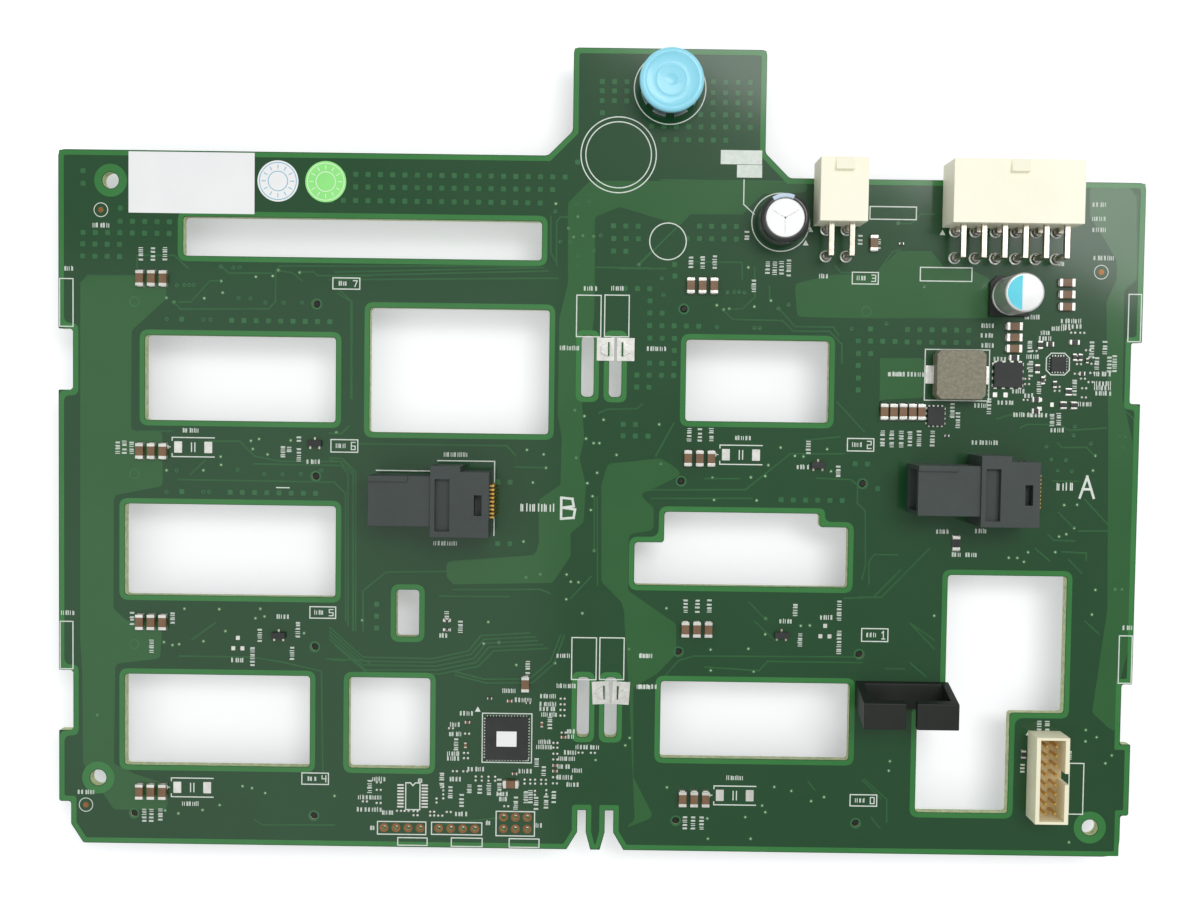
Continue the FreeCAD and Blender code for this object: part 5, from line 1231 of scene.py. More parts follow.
# Empty places for the smallest parts, each two solder dots: along X, then along Y; then larger single pads
LYING_PLACES: tuple[Point, ...] = (
    (-6.8, -51.7), (-6.8, -52.9), (-6.8, -54.1), (-6.8, -55.3), (-26.8, -59.4), (-30.2, -58.3), (-27, -63.5),
    (-27, -64.6), (-29.3, -67.4), (-27.1, -67.4), (-8.2, -61.1), (-8.2, -62.1), (-8.2, -63.4), (-8.2, -64.6),
    (-8.2, -68.4), (-8.2, -69.7), (-6.5, -58.9), (-2.9, -63.1), (-0.3, -63.1), (-45.3, -70), (-45.3, -71.6),
    (-48.2, -74.1), (-45.3, -74.4), (-18.4, -74.7), (-41, -76), (-39.4, -76), (-37.5, -76), (-34, -76.1),
    (-30.5, -76.1), (-34, -76.9), (-32.3, -76.9), (-37.5, -76.9), (99.7, 21.6), (99.7, 20.7), (99.7, 19.9),
    (99.3, 17.9), (100.6, 16.9), (102.2, 16.2), (89, 16.7), (89, 15.6), (90.4, 22.5), (100.2, 26.4),
    (98.3, 26.4), (97.1, 27.1), (101.5, 22.8), (102.2, 21.3), (102.7, 20), (102.5, 18.1), (100.9, 14.9),
    (100.9, 13), (88.8, 12.3),
)
UPRIGHT_PLACES: tuple[Point, ...] = (
    (-24.9, -68.9), (-23.6, -68.9), (-22.2, -68.9), (-20.8, -68.9), (-14.6, -69.4), (-13.4, -69.4),
    (-12.4, -69.4), (-11.1, -69.4), (-10.1, -69.4), (-31.7, -71.1), (-31.7, -72.8), (-33.1, -73.7),
    (-12.4, -71.8), (-10, -71.6), (89.1, 19.3), (71.9, 10), (94.8, 14.7), (95.8, 14.7), (92.7, 16.9),
    (81, 13.7),
)
SINGLE_PADS: tuple[tuple[float, float, float, float], ...] = (
    (82.4, 13.3, 1, 1.1), (84.6, 13.3, 1, 1.1), (91.7, 12.4, 1.1, 0.9), (91.7, 10.5, 1.1, 0.9),
    (94.3, 11.4, 0.8, 1), (96.7, 11.4, 0.9, 1.1), (98.6, 11.4, 0.9, 1.1), (97.8, 13.8, 0.9, 1),
)


def bmesh_cut(mesh: bpy.types.Mesh, cutter: bpy.types.Mesh) -> bpy.types.Mesh:
    """Take one closed mesh out of another.

    Args:
        mesh: the mesh that is cut. It is used up.
        cutter: the mesh that is taken away. It is used up.
    Returns:
        What is left.
    """
    whole, tool = bpy.data.objects.new("whole", mesh), bpy.data.objects.new("tool", cutter)
    for holder in (whole, tool):
        bpy.context.scene.collection.objects.link(holder)
    modifier = whole.modifiers.new("cut", "BOOLEAN")
    modifier.operation, modifier.solver, modifier.object = "DIFFERENCE", "EXACT", tool
    result = bpy.data.meshes.new_from_object(whole.evaluated_get(bpy.context.evaluated_depsgraph_get()))
    for holder, data in ((whole, mesh), (tool, cutter)):
        bpy.data.objects.remove(holder)
        bpy.data.meshes.remove(data)
    return result


@dataclass
class Laminate:
    """The routed laminate with rounded corners in its cut-outs."""

    plan: BoardPlan
    peg_radius: float = 0.75
    tooling_radius: float = 1.7
    test_radius: float = 0.5
    slot_corner: float = 1.0

    def build(self) -> None:
        """Fill the board between its edge and its openings, with pale sides where the router cut it."""
        corners, radii = self.plan.edge()
        loops = [rounded(corners, radii)]
        loops += [rounded(loop, self.plan.corner) for loop in self.plan.openings()]
        loops += [rounded(loop, self.slot_corner) for loop in self.plan.hook_slots()]
        loops += [disc(x, y, self.tooling_radius) for x, y in self.plan.tooling_holes]
        loops += [disc(x, y, self.peg_radius, 16) for x, y in self.plan.peg_holes()]
        loops += [disc(x, y, self.test_radius, 14) for x, y in self.plan.test_holes]
        shape = Shape()
        shape.sheet(loops, BOARD_REAR, BOARD_TOP)
        for face in shape.mesh.faces:
            face.normal_update()
            face.material_index = 0 if abs(face.normal.z) > 0.5 else 1
        shape.piece("laminate", (MASK, LAMINATE_EDGE), replaces=("circuit_board",), slot="board_laminate")


@dataclass
class CopperPrint:
    """Copper that shows through the mask: areas, rims, traces, stitching and plated holes."""

    plan: BoardPlan
    rim: float = 1.15
    slot_rim: float = 1.1
    edge_inset: float = 0.15
    inset: float = 0.12
    tooling_hole: float = 1.85
    tooling_rim: float = 3.4
    tooling_clear: float = 2.6
    area_low: float = 0.018
    area_step: float = 0.002
    trace: float = 0.34
    trace_high: float = 0.024
    pad: float = 1.2
    pad_high: float = 0.045
    pad_pitch: float = 2.55
    pad_gap: float = 1.4
    via_gap: float = 0.9
    via: tuple[Point, ...] = ((0.0, -0.1), (0.44, -0.1), (0.42, 0.042), (0.2, 0.046), (0.14, 0.01),
                              (0.0, 0.01))

    def build(self) -> None:
        """Lay each kind of copper as its own piece, a few hundredths proud of the laminate."""
        self.areas()
        self.rims("copper_rims", PRINT_ROOT, BOARD_TOP + COPPER_STEP)
        self.rims("rear_copper_rims", BOARD_REAR - COPPER_STEP, BOARD_REAR + 0.1)
        self.lines()
        self.stitching()
        self.holes()

    def clear(self, margin: float) -> bpy.types.Mesh:
        """Slabs that stand over all the openings.

        Args:
            margin: how far they reach over the openings' edges.
        Returns:
            The mesh.
        """
        shape = Shape()
        for loop in self.plan.openings() + self.plan.hook_slots():
            shape.prism(grown(loop, margin), BOARD_TOP - 1, BOARD_TOP + 1)
        for x, y in self.plan.tooling_holes:
            shape.prism(disc(x, y, self.tooling_clear), BOARD_TOP - 1, BOARD_TOP + 1)
        mesh = bpy.data.meshes.new("clear")
        shape.mesh.to_mesh(mesh)
        shape.mesh.free()
        return mesh

    def areas(self) -> None:
        """Broad copper areas, cut back from the openings."""
        shape = Shape()
        for index, area in enumerate(COPPER_AREAS):
            high = BOARD_TOP + self.area_low + self.area_step * index
            slab = sheet_mesh([rounded(anticlockwise(list(area)), 1.2, 3)], PRINT_ROOT, high)
            shape.add(bmesh_cut(slab, self.clear(0.6)))
        shape.piece("copper_areas", (MASK_COPPER,))

    def rims(self, name: str, low: float, height: float) -> None:
        """Bright rims round the edge and round each opening.

        Args:
            name: the piece's name.
            low: their lower side.
            height: their upper side.
        """
        corners, radii = self.plan.edge()
        shape = Shape()
        outer = rounded(grown(corners, -self.edge_inset), radii)
        shape.sheet([outer, rounded(grown(corners, -self.rim), [r + 0.2 for r in radii])], low, height)
        for loop in self.plan.openings():
            inner = rounded(grown(loop, self.inset), self.plan.corner)
            shape.sheet([rounded(grown(loop, self.rim), 1.9), inner], low, height)
        for loop in self.plan.hook_slots():
            inner = rounded(grown(loop, self.inset), 1.0)
            shape.sheet([rounded(grown(loop, self.slot_rim), 1.6), inner], low, height)
        for x, y in self.plan.tooling_holes:
            shape.sheet([disc(x, y, self.tooling_rim, 40), disc(x, y, self.tooling_hole, 40)], low, height)
        shape.piece(name, (MASK_RIM,))

    def lines(self) -> None:
        """Traces under the mask."""
        shape = Shape()
        height = BOARD_TOP + self.trace_high
        for line in TRACES:
            for strip in ribbon(self.plain_part(line), self.trace):
                shape.prism(strip, PRINT_ROOT, height)
                height += LAYER_STEP
        shape.piece("traces", (MASK_TRACE,))

    def plain_part(self, line: Sequence[Point]) -> list[Point]:
        """Points of a line up to where it would cross an opening.

        Args:
            line: the points.
        Returns:
            The points that lie on the board, at most 1 mm apart.
        """
        kept: list[Point] = []
        for (ax, ay), (bx, by) in zip(line, line[1:]):
            steps = max(1, int(math.hypot(bx - ax, by - ay) / 1.0))
            run = [(ax + (bx - ax) * i / steps, ay + (by - ay) * i / steps) for i in range(steps + 1)]
            good = [point for point in run if self.plan.is_board(*point, 0.5)]
            if len(good) < len(run):
                return kept + good[:1] if kept else good[:1] + good[-1:]
            kept += [run[0], run[-1]]
        return list(dict.fromkeys(kept))

    def stitching(self) -> None:
        """Rows of small squares of the ground copper."""
        shape = Shape()
        laid: list[Point] = []
        for x, y, count in PAD_ROWS:
            for i in range(count):
                place = (x + i * self.pad_pitch, y)
                apart = all(math.dist(place, other) > self.pad_gap for other in laid)
                if apart and self.plan.is_board(*place, 0.9):
                    laid.append(place)
                    shape.prism(rounded(rectangle(*place, self.pad, self.pad), 0.25, 2), PRINT_ROOT,
                                BOARD_TOP + self.pad_high, top=0.86)
        shape.piece("stitching_squares", (MASK_PAD,))

    def holes(self) -> None:
        """Rings and centres of the plated holes."""
        shape = Shape()
        laid: list[Point] = []
        for x, y in BRIGHT_VIAS + COVERED_VIAS:
            apart = all(math.dist((x, y), other) > self.via_gap for other in laid)
            if apart and self.plan.is_board(x, y, 0.4):
                laid.append((x, y))
                centre = 1 if (x, y) in BRIGHT_VIAS else 2
                shape.lathe(self.via, (x, y, BOARD_TOP), 14, slots=(0, 0, 0, centre, centre))
        for x, y in self.plan.test_holes:
            shape.sheet([disc(x, y, 0.95), disc(x, y, 0.5)], PRINT_ROOT, BOARD_TOP + 0.05, 3)
        for x, y in self.plan.peg_holes():
            shape.sheet([disc(x, y, 1.15), disc(x, y, 0.8)], PRINT_ROOT, BOARD_TOP + 0.03, 0)
        shape.piece("plated_holes", (MASK_PAD, VIA_SHINE, MASK, BARE_COPPER))


GLYPHS: dict[str, tuple[tuple[Point, ...], ...]] = {
    "0": (((0, 0), (1, 0), (1, 2), (0, 2), (0, 0)),),
    "1": (((0.1, 1.6), (0.5, 2), (0.5, 0)), ((0.1, 0), (0.9, 0))),
    "2": (((0, 2), (1, 2), (1, 1), (0, 1), (0, 0), (1, 0)),),
    "3": (((0, 2), (1, 2), (1, 0), (0, 0)), ((0.2, 1), (1, 1))),
    "4": (((0, 2), (0, 1), (1, 1)), ((1, 2), (1, 0))),
    "5": (((1, 2), (0, 2), (0, 1), (1, 1), (1, 0), (0, 0)),),
    "6": (((1, 2), (0, 2), (0, 0), (1, 0), (1, 1), (0, 1)),),
    "7": (((0, 2), (1, 2), (0.4, 0)),),
    "A": (((0, 0), (0.5, 2), (1, 0)), ((0.2, 0.8), (0.8, 0.8))),
    "B": (((0, 0), (0, 2), (0.8, 1.9), (0.9, 1.2), (0.1, 1.05), (1, 0.9), (0.9, 0.1), (0, 0)),),
    "+": (((0, 1), (1, 1)), ((0.5, 0.5), (0.5, 1.5))),
}


@dataclass
class Silkscreen:
    """White ink: boxes, rings, brackets, bay numbers, port letters and rows of short ticks."""

    plan: BoardPlan
    line: float = 0.22
    boxes: tuple[tuple[float, float, float, float, str], ...] = (
        (-55.6, 33.4, -50.0, 35.7, "7"), (-55.8, -0.5, -50.2, 2.1, "6"), (-60.0, -35.4, -54.6, -33.0, "5"),
        (-61.5, -70.6, -55.9, -68.2, "4"), (52.2, 35.9, 57.6, 38.3, "3"), (51.9, 1.2, 57.4, 3.8, "2"),
        (55.7, -38.7, 61.2, -36.0, "1"), (54.0, -73.6, 59.6, -71.2, "0"))
    frames: tuple[tuple[float, float, float, float], ...] = (
        (55.6, 49.3, 65.2, 51.9), (66.3, 36.7, 77.0, 39.5), (99.95, -74.7, 103.0, -63.9),
        (-41.2, -83.3, -35.0, -81.7),
        (-29.9, -83.4, -23.4, -81.6), (-17.7, -83.4, -11.4, -81.6), (-45.5, -81.0, -35.3, -78.3),
        (-34.1, -80.9, -23.5, -78.3), (-20.5, -81.0, -12.4, -75.8), (-4.9, 24.2, 0.16, 32.8),
        (0.94, 24.3, 6.0, 32.9),
        (-5.0, -47.6, 0.15, -38.75), (0.87, -47.5, 5.96, -38.7), (67.7, 11.98, 81.07, 22.55),
        (-112.4, 24.9, -109.6, 34.8), (-112.4, -46.8, -109.7, -36.8), (109.7, 24.7, 112.3, 34.5),
        (109.7, -46.8, 112.4, -36.8), (-14.6, -64.9, -13.9, -64.2))
    rings: tuple[tuple[float, float, float], ...] = (
        (3.37, 61.82, 7.9), (3.37, 61.82, 6.9), (13.85, 44.15, 3.9), (13.8, 75.6, 7.5), (37.14, 48.4, 6.1))
    blocks: tuple[tuple[float, float, float, float], ...] = ((24.5, 60.2, 33.05, 63.1),
                                                             (27.9, 57.5, 33.1, 60.1))
    lines: tuple[tuple[Point, ...], ...] = (
        ((-46.3, -4.2), (-34.9, -4.2)), ((-33.5, -2.0), (-21.6, -2.0), (-21.6, -17.5)),
        ((93.9, 17.6), (96.7, 17.6), (97.7, 18.6), (97.7, 21.1), (96.7, 22.1), (93.9, 22.1), (92.9, 21.1),
         (92.9, 18.6), (93.9, 17.6)),
        ((-39.6, -75.7), (-36.6, -75.7), (-36.6, -70.0), (-37.6, -70.0), (-38.1, -70.6), (-38.6, -70.0),
         (-39.6, -70.0), (-39.6, -75.7)), ((-67.1, -8.1), (-64.5, -8.1)),
        ((-23.6, -65.4), (-13.2, -65.4), (-13.2, -55.0), (-23.6, -55.0), (-23.6, -65.4)),
        ((29.4, 57.0), (29.4, 52.0), (31.6, 50.0)), ((43.2, 62.0), (43.2, 64.2)))
    triangles: tuple[Point, ...] = ((43.3, 47.0), (70.7, 46.7), (42.4, 44.2), (91.2, -57.6), (-24.6, -54.2))
    tick_pitch: float = 0.72
    tick_tall: float = 0.95
    layers: int = 60
    prints: int = 0

    def build(self) -> None:
        """Print everything as one thin layer of ink."""
        self.shape = Shape()
        high = BOARD_TOP + INK_STEP
        for x0, y0, x1, y1, digit in self.boxes:
            self.outline((x0, y0, x1, y1))
            self.glyph(digit, x1 - 1.35, y0 + 0.55, 0.8, (y1 - y0 - 1.1) / 2)
            self.ticks(x0 + (x1 - x0) * 0.36, (y0 + y1) / 2, 3, False)
        for frame in self.frames:
            self.outline(frame)
        for x, y, radius in self.rings:
            self.shape.sheet([disc(x, y, radius, 64), disc(x, y, radius - self.line, 64)], PRINT_ROOT, high)
        for x0, y0, x1, y1 in self.blocks:
            self.shape.prism(rectangle((x0 + x1) / 2, (y0 + y1) / 2, x1 - x0, y1 - y0), PRINT_ROOT, high)
        for line in self.lines:
            self.stroke(line)
        for x, y in self.triangles:
            self.shape.prism([(x - 0.6, y - 0.5), (x + 0.6, y - 0.5), (x, y + 0.6)], PRINT_ROOT, high)
        self.glyph("B", -7.6, -13.8, 2.9, 2.2, 0.5)
        self.glyph("A", 100.6, -7.9, 2.9, 2.2, 0.5)
        self.ticks(-12.6, -11.6, 6, False, 1.7)
        self.ticks(97.4, -5.7, 3, False, 1.7)
        for x, y, count in LYING_TICKS:
            self.ticks(x, y, count, False)
        for x, y, count in UPRIGHT_TICKS:
            self.ticks(x, y, count, True)
        self.shape.piece("silkscreen", (INK,))

    def stroke(self, line: Sequence[Point], width: float | None = None) -> None:
        """Draw a line of ink where there is board.

        Args:
            line: its points.
            width: its width.
        """
        for strip in ribbon(line, width or self.line):
            if all(self.plan.is_board(x, y, 0.05) for x, y in strip):
                self.prints = (self.prints + 1) % self.layers
                self.shape.prism(strip, PRINT_ROOT, BOARD_TOP + INK_STEP + LAYER_STEP * self.prints)

    def outline(self, box: tuple[float, float, float, float]) -> None:
        """Draw a box.

        Args:
            box: its lower left and upper right corners.
        """
        x0, y0, x1, y1 = box
        self.stroke(((x0, y0), (x1, y0), (x1, y1), (x0, y1), (x0, y0)))

    def glyph(self, sign: str, x: float, y: float, width: float, half: float, pen: float = 0.2) -> None:
        """Draw a digit or port letter.

        Args:
            sign: the sign.
            x: its left side.
            y: its foot.
            width: its width.
            half: half its height.
            pen: width of its strokes.
        """
        for path in GLYPHS[sign]:
            self.stroke([(x + px * width, y + py * half) for px, py in path], pen)

    def ticks(self, x: float, y: float, count: int, upright: bool, size: float = 1.0) -> None:
        """Draw a row of short strokes that stands for small print.

        Args:
            x: centre along X.
            y: centre along Y.
            count: number of marks.
            upright: True for a row along Y.
            size: scale of the marks.
        """
        dice = random.Random(f"{x:.1f} {y:.1f}")
        pitch, tall = self.tick_pitch * size, self.tick_tall * size
        for i in range(count):
            along = (i - (count - 1) / 2) * pitch
            for offset in dice.sample((-0.2, 0.0, 0.2), 2):
                high = dice.uniform(0.3, 0.5) * tall
                ends = [(along + offset * size, -0.4 * tall), (along + offset * size, high)]
                if upright:
                    ends = [(-py, px) for px, py in ends]
                self.stroke([(x + px, y + py) for px, py in ends], 0.15 * size)


@dataclass
class Footprints:
    """Tinned pads: those under the small parts, empty places and the fiducial marks."""

    plan: BoardPlan
    empty: tuple[Point, ...] = ((-84.55, 0.1), (-84.6, -71.65), (29.75, 0.05), (29.7, -71.75))
    fiducials: tuple[Point, ...] = ((-103.8, 49.1), (-107.0, -75.6), (103.8, 39.0))
    small: tuple[Point, ...] = ((-75.08, -40.89), (48.01, -36.65))
    micro: tuple[Point, ...] = ((-31.25, -36.48),)
    bracket: tuple[tuple[float, float, float, float], ...] = (
        (-4.4, 2.0, 4.4, 2.0), (-4.4, -2.0, 4.4, -2.0), (-4.4, -2.0, -4.4, -1.4), (-4.4, 2.0, -4.4, 1.4),
        (-0.35, -0.9, -0.35, 0.9), (0.35, -0.9, 0.35, 0.9))
    dome: tuple[Point, ...] = ((0.0, -0.1), (0.25, -0.1), (0.25, 0.05), (0.15, 0.13), (0.0, 0.16))

    def build(self) -> None:
        """Lay all pads as one piece and their brackets as another."""
        shape = Shape()
        high = BOARD_TOP + TIN_STEP
        for x, y in self.empty:
            for side in (-1, 1):
                self.pad(shape, x + side * 3.15, y, 1.8, 2.6)
        for x, y in self.small:
            for dx, dy in ((-0.95, -1.1), (0.95, -1.1), (0.0, 1.1)):
                self.pad(shape, x + dx, y + dy, 0.9, 0.95)
        for x, y in self.micro:
            for i in range(3):
                for side in (-1, 1):
                    self.pad(shape, x + (i - 1) * 0.65, y + side * 1.0, 0.4, 0.7)
        for i in range(8):
            for x in (-40.7, -35.6):
                self.pad(shape, x, -75.1 + i * 0.66, 1.5, 0.38)
        for x, y in self.fiducials:
            shape.prism(disc(x, y, 0.6), PRINT_ROOT, high, 1)
        for places, (dx, dy) in ((LYING_PLACES, (0.42, 0.0)), (UPRIGHT_PLACES, (0.0, 0.42))):
            for x, y in places:
                for side in (-1, 1):
                    shape.lathe(self.dome, (x + side * dx, y + side * dy, BOARD_TOP), 12)
        for x, y, width, height in SINGLE_PADS:
            self.pad(shape, x, y, width, height)
        shape.piece("bare_pads", (TIN, BARE_COPPER))
        ink = Silkscreen(self.plan)
        ink.shape = Shape()
        for x, y in self.empty:
            for ax, ay, bx, by in self.bracket:
                ink.stroke(((x + ax, y + ay), (x + bx, y + by)))
            ink.glyph("+", x - 5.7, y - 0.6, 0.9, 0.6)
        for x, y in self.fiducials:
            ink.shape.sheet([disc(x, y, 1.5, 32), disc(x, y, 1.35, 32)], PRINT_ROOT, BOARD_TOP + INK_STEP)
        ink.shape.piece("footprint_ink", (INK,))

    @staticmethod
    def pad(shape: Shape, x: float, y: float, width: float, height: float) -> None:
        """Lay one pad, domed a little as tinned pads are.

        Args:
            shape: the shape that it joins.
            x: centre along X.
            y: centre along Y.
            width: size along X.
            height: size along Y.
        """
        shape.prism(rounded(rectangle(x, y, width, height), 0.12, 2), PRINT_ROOT, BOARD_TOP + TIN_STEP,
                    top=0.9)


@dataclass(frozen=True)
class ChipStyle:
    """Proportions and finishes of a two-ended chip part."""

    body: Finish
    end: Finish
    end_share: float = 0.2
    top: Finish | None = None


@dataclass
class ChipParts:
    """Rows of two-ended chip parts with tinned ends and solder at their feet."""

    name: str
    style: ChipStyle
    places: Sequence[tuple[float, float, float, float]]
    height: float
    replaces: str | None

    def build(self) -> None:
        """Build each part: body, two ends and two solder slopes."""
        shape = Shape()
        for x, y, length, width in self.places:
            along = length >= width
            long, short = (length, width) if along else (width, length)
            end = long * self.style.end_share
            lift = BOARD_TOP + 0.02

            def put(offset: float, size: float, across: float, low: float, high: float, slot: int,
                    ease: float) -> None:
                """Add one block of the part.

                Args:
                    offset: its place along the part, from the middle.
                    size: its length along the part.
                    across: its width.
                    low: height of its underside.
                    high: height of its top.
                    slot: number of its finish.
                    ease: size of the rounding of its edges.
                """
                dims = (size, across) if along else (across, size)
                place = (x + offset, y) if along else (x, y + offset)
                shape.block((*place, (low + high) / 2), (*dims, high - low), slot, ease)

            put(0.0, long - 2 * end + 0.04, short - 0.05, lift, lift + self.height - 0.06, 0, 0.04)
            if self.style.top:
                put(0.0, long - 2 * end - 0.06, short - 0.14, lift + self.height - 0.08,
                    lift + self.height - 0.03, 3, 0.015)
            for side in (-1, 1):
                put(side * (long - end) / 2, end, short, lift - 0.02, BOARD_TOP + self.height, 1, 0.06)
                foot = rectangle(0, 0, end * 2.1, short + 0.1)
                cx, cy = side * (long / 2 - end * 0.45), 0.0
                place = (x + cx, y + cy) if along else (x + cy, y + cx)
                loop = [(place[0] + (px if along else py), place[1] + (py if along else px))
                        for px, py in foot]
                shape.prism(loop, BOARD_TOP - 0.05, BOARD_TOP + self.height * 0.4, 2, top=0.62)
        finishes = [self.style.body, self.style.end, SOLDER, self.style.top or self.style.body]
        shape.piece(self.name, finishes, replaces=(self.replaces,) if self.replaces else (), slot="ceramic")


@dataclass
class LeadedChip:
    """A flat chip with pads round it and a pin-one dot."""

    node: str
    x: float
    y: float
    length: float
    width: float
    height: float = 0.9
    pads: int = 6

    def build(self, model: FrameModel) -> None:
        """Ease the body, mark it and lay its pads.

        Args:
            model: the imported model.
        """
        model.refine(self.node, (EPOXY,), 0.08, "chip_epoxy")
        shape = Shape()
        top = BOARD_TOP + self.height
        shape.lathe(((0, -0.05), (0.24, -0.05), (0.24, 0.0), (0.18, -0.01), (0, -0.01)),
                    (self.x - self.length / 2 + 0.6, self.y + self.width / 2 - 0.6, top), 20, 0)
        shape.piece(f"{self.node}_dot", (MARK,))
        pads = Shape()
        for along, size, across in ((True, self.length, self.width), (False, self.width, self.length)):
            pitch = (size - 0.8) / max(1, self.pads - 1)
            for i in range(self.pads):
                offset = -size / 2 + 0.4 + i * pitch
                for side in (-1, 1):
                    reach = side * (across / 2 + 0.12)
                    place = (self.x + offset, self.y + reach) if along else (self.x + reach, self.y + offset)
                    dims = (pitch * 0.5, 0.5) if along else (0.5, pitch * 0.5)
                    pads.prism(rectangle(*place, *dims), PRINT_ROOT, BOARD_TOP + 0.16, 0, top=0.8)
        pads.piece(f"{self.node}_pads", (SOLDER,))


@dataclass(frozen=True)
class KnobSizes:
    """Profile of the plunger's knob."""

    x: float = 13.8
    y: float = 75.6
    foot: float = 16.41
    top: float = 19.51
    neck: float = 3.8
    head: float = 6.5
    flare: float = 1.3
    rim: float = 0.6
    dish: float = 0.35


@dataclass(frozen=True)
class SpringSizes:
    """Coil spring between the pin's collar and the ferrule's lid."""

    radius: float = 2.4
    wire: float = 0.225
    low: float = 10.3
    high: float = 15.41
    seat: float = 15.66
    turns: int = 4
    steps: int = 28
    pressed_share: float = 0.365


class ReleasePlunger:
    """Plunger on the tab: moulded knob over a turned ferrule, with its pin and spring."""

    def __init__(self, model: FrameModel, sizes: KnobSizes = KnobSizes(),
                 coil: SpringSizes = SpringSizes()) -> None:
        """Keep the sizes.

        Args:
            model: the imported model.
            sizes: sizes of the knob.
            coil: sizes of the spring.
        """
        self.model = model
        self.sizes = sizes
        self.coil = coil

    def spring(self) -> None:
        """Wind the spring as it stands at rest; the piece does not shorten when the knob is pulled."""
        s, coil = self.sizes, self.coil
        count = coil.turns * coil.steps
        path = []
        for i in range(count + 1):
            angle = 2 * math.pi * i / coil.steps
            path.append(Vector((s.x + coil.radius * math.cos(angle), s.y + coil.radius * math.sin(angle),
                                coil.low + (coil.high - coil.low) * i / count)))
        shape = Shape()
        shape.tube(path, coil.wire)
        piece = shape.piece("coil_spring", (SPRING_STEEL,), BOARD_BODY, ("plunger_spring",), "spring_steel",
                            smooth=60)
        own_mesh(piece)

    def build(self) -> None:
        """Build the knob with its turned rings and dress the rest."""
        s = self.sizes
        top = s.top - s.foot
        profile = [(0.0, 0.0), (s.neck - 0.25, 0.0), (s.neck, 0.12), (s.neck + 0.15, 0.35),
                   (s.head - 0.9, s.flare), (s.head - 0.25, s.flare + 0.25), (s.head, s.flare + 0.7),
                   (s.head, top - s.rim - 0.1), (s.head - 0.12, top - 0.28), (s.head - 0.42, top - 0.06),
                   (s.head - 0.8, top), (s.head - 1.15, top - 0.03), (s.head - 1.5, top - s.dish),
                   (3.4, top - s.dish - 0.05), (3.2, top - s.dish + 0.08), (2.9, top - s.dish + 0.08),
                   (2.7, top - s.dish - 0.02), (1.3, top - s.dish + 0.02), (1.1, top - s.dish - 0.12),
                   (0.0, top - s.dish - 0.16)]
        shape = Shape()
        shape.lathe(profile, (s.x, s.y, s.foot), 64)
        shape.piece("knob_head", (KNOB_BLUE,), PLUNGER_BODY, ("plunger_knob",), "blue_plastic", smooth=50)
        self.model.refine("plunger_ferrule", (NICKEL,), 0.12, "nickel_ferrule")
        self.model.dress("plunger_pin", STEEL)
        self.spring()


@dataclass
class CanCapacitors:
    """The sleeved can on the tab side and the upright can of the power section."""

    bulk: tuple[float, float] = (37.14, 48.4)
    bulk_radius: float = 5.0
    bulk_height: float = 8.0
    filter: tuple[float, float] = (84.7, 33.7)
    filter_radius: float = 4.0
    filter_low: float = 12.06
    filter_high: float = 22.76

    def build(self, model: FrameModel) -> None:
        """Build both cans and dress their bases and leads.

        Args:
            model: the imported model.
        """
        self.sleeved(*self.bulk)
        self.upright(*self.filter)
        model.dress("bulk_capacitor_leads", TIN_PIN)
        model.refine("filter_capacitor_base", (BLACK_POLYMER,), 0.15, "black_plastic")

    def sleeved(self, x: float, y: float) -> None:
        """Build the sleeved can with its vented disc.

        Args:
            x: centre along X.
            y: centre along Y.
        """
        r, h = self.bulk_radius, self.bulk_height
        shape = Shape()
        shape.lathe(((0, 0), (r - 0.5, 0), (r - 0.1, 0.25), (r, 0.7), (r, 1.2), (r - 0.25, 1.45),
                     (r - 0.25, 1.75), (r, 2.0), (r, h - 0.7), (r - 0.12, h - 0.3), (r - 0.45, h - 0.04),
                     (r - 0.9, h), (r - 1.1, h - 0.08), (r - 1.1, h - 0.3), (0, h - 0.3)),
                    (x, y, BOARD_TOP), 64, slots=(0,) * 13 + (1,))
        for turn in (30, 150, 270):
            a = math.radians(turn)
            groove = [(x, y), (x + 3.0 * math.cos(a), y + 3.0 * math.sin(a))]
            for strip in ribbon(groove, 0.3):
                shape.prism(strip, BOARD_TOP + h - 0.4, BOARD_TOP + h - 0.28, 2)
        band = [(x + rr * math.cos(math.radians(d)), y + rr * math.sin(math.radians(d)))
                for rr, span in ((r - 0.12, range(68, 125, 4)), (r - 1.0, range(124, 67, -4))) for d in span]
        shape.prism(band, BOARD_TOP + h - 0.3, BOARD_TOP + h - 0.005, 3)
        shape.piece("bulk_can", (SLEEVE, CAN_TOP, NICKEL, PALE_BAND), replaces=("bulk_capacitor",),
                    slot="cap_sleeve")

    def upright(self, x: float, y: float) -> None:
        """Build the upright can with its printed top.

        Args:
            x: centre along X.
            y: centre along Y.
        """
        r, h = self.filter_radius, self.filter_high - self.filter_low
        shape = Shape()
        shape.lathe(((0, 0), (r - 0.35, 0), (r - 0.08, 0.2), (r, 0.5), (r, 1.3), (r - 0.3, 1.6),
                     (r - 0.3, 1.9), (r, 2.2), (r, h - 0.6), (r - 0.15, h - 0.25), (r - 0.5, h - 0.03),
                     (0, h - 0.03)),
                    (x, y, self.filter_low), 64, slots=(0,) * 10 + (1,))
        edge = r - 0.5
        chord = -0.55
        span = math.acos(chord / edge)
        arc = [(x + edge * math.cos(span + (2 * math.pi - 2 * span) * i / 24),
                y + edge * math.sin(span + (2 * math.pi - 2 * span) * i / 24)) for i in range(25)]
        shape.prism(arc, self.filter_high - 0.1, self.filter_high - 0.004, 2)
        shape.piece("filter_can", (CAN_ALUMINIUM, CAN_TOP, CAN_PRINT), replaces=("filter_capacitor_can",),
                    slot="can_aluminium")


